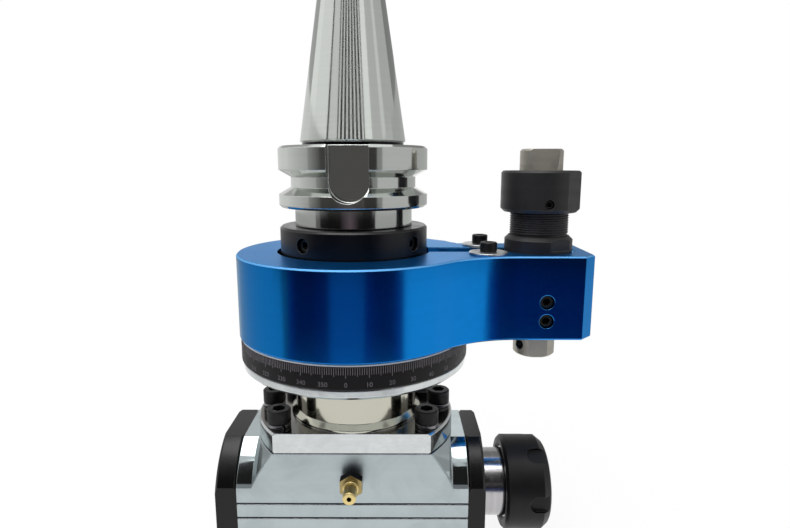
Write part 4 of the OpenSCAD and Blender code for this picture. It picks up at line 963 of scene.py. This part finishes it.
# Each tier: its label, its panels and their profile of radius and height
TIERS = [
    ("low", LOW_TIER, [(TABLE_R, TABLE_Z), (PANEL_R, TABLE_Z), (PANEL_R, TIER_LOW_Z)]),
    ("collar", COLLAR_TIER, [(PANEL_R, TIER_LOW_Z), (PANEL_R, TIER_COLLAR_Z)]),
    ("mid", MID_TIER, [(PANEL_R, TIER_COLLAR_Z), (PANEL_R, TIER_MID_Z)]),
    ("top", TOP_TIER, [(PANEL_R, TIER_MID_Z), (PANEL_R, TIER_TOP_Z)]),
    ("room", ROOM, [(ROOM_R, ROOM_LOW_Z), (ROOM_R, ROOM_TOP_Z)]),
]


def panel_glow(name, start, end, level, tint, end_level):
    """The material of a panel, whose brightness runs from one level to another."""
    made, tree = material_tree(name)
    parts = object_parts(tree)
    turned = math_node(tree, "ARCTAN2", parts["X"], math_node(tree, "MULTIPLY", parts["Y"], -1.0))
    strength = span(tree, turned, math.radians(start), math.radians(end), level, end_level)
    glow = add(tree, "ShaderNodeEmission", {"Color": opaque(tint), "Strength": strength})
    add(tree, "ShaderNodeOutputMaterial", {"Surface": glow.outputs[0]})
    return made


def make_panel(name, start, end, profile, level, tint, end_level=None):
    """A curved panel about the shank axis, spun from its profile and seen in reflections only."""
    last_level = level if end_level is None else end_level
    mesh = bmesh.new()
    turn = math.radians(start)
    side = joined_points(mesh, [(r * math.sin(turn), -r * math.cos(turn), z) for r, z in profile])
    bmesh.ops.spin(
        mesh, geom=side, cent=(0.0, 0.0, 0.0), axis=(0.0, 0.0, 1.0), angle=math.radians(end - start),
        steps=PANEL_STEPS,
    )
    panel = stage_piece(name, mesh, panel_glow(name, start, end, level, tint, last_level))
    panel.visible_camera = False
    panel.visible_diffuse = False
    panel.visible_transmission = False
    panel.visible_shadow = False


def make_tent():
    """All panels and slats."""
    for label, panels, profile in TIERS:
        for i, (start, end, level, tint, *end_level) in enumerate(panels):
            make_panel(f"{label}_panel_{i}", start, end, profile, level, tint, *end_level)
    for i in range(SLAT_COUNT):
        start = SLAT_FIRST + SLAT_STEP * i
        make_panel(f"slat_{i}", start, start + SLAT_W, SLAT_PROFILE, SLAT_LEVEL, CLOTH_TINT)


# Lamp over the tent
LAMP_SIZE = 0.9
LAMP_POWER = 9.0
LAMP_AT = Vector((-0.25, -0.35, 0.9))
LAMP_AIM = Vector((0.0, 0.0, SPINDLE_AXIS_Z / 2))


def make_lamp():
    """A wide lamp above and to the left of the camera."""
    data = bpy.data.lights.new("tent_top", "AREA")
    data.size = LAMP_SIZE
    data.energy = LAMP_POWER
    lamp = bpy.data.objects.new("tent_top", data)
    lamp.location = LAMP_AT
    lamp.rotation_euler = (LAMP_AIM - LAMP_AT).to_track_quat("-Z", "Y").to_euler()
    bpy.context.scene.collection.objects.link(lamp)


make_camera()
finish_nodes()
make_dial_lines()
make_dial_numbers()
make_sleeve_thread()
make_arm()
make_springs()
make_world()
make_floor()
make_tent()
make_lamp()
bpy.context.scene.view_settings.view_transform = "Standard"
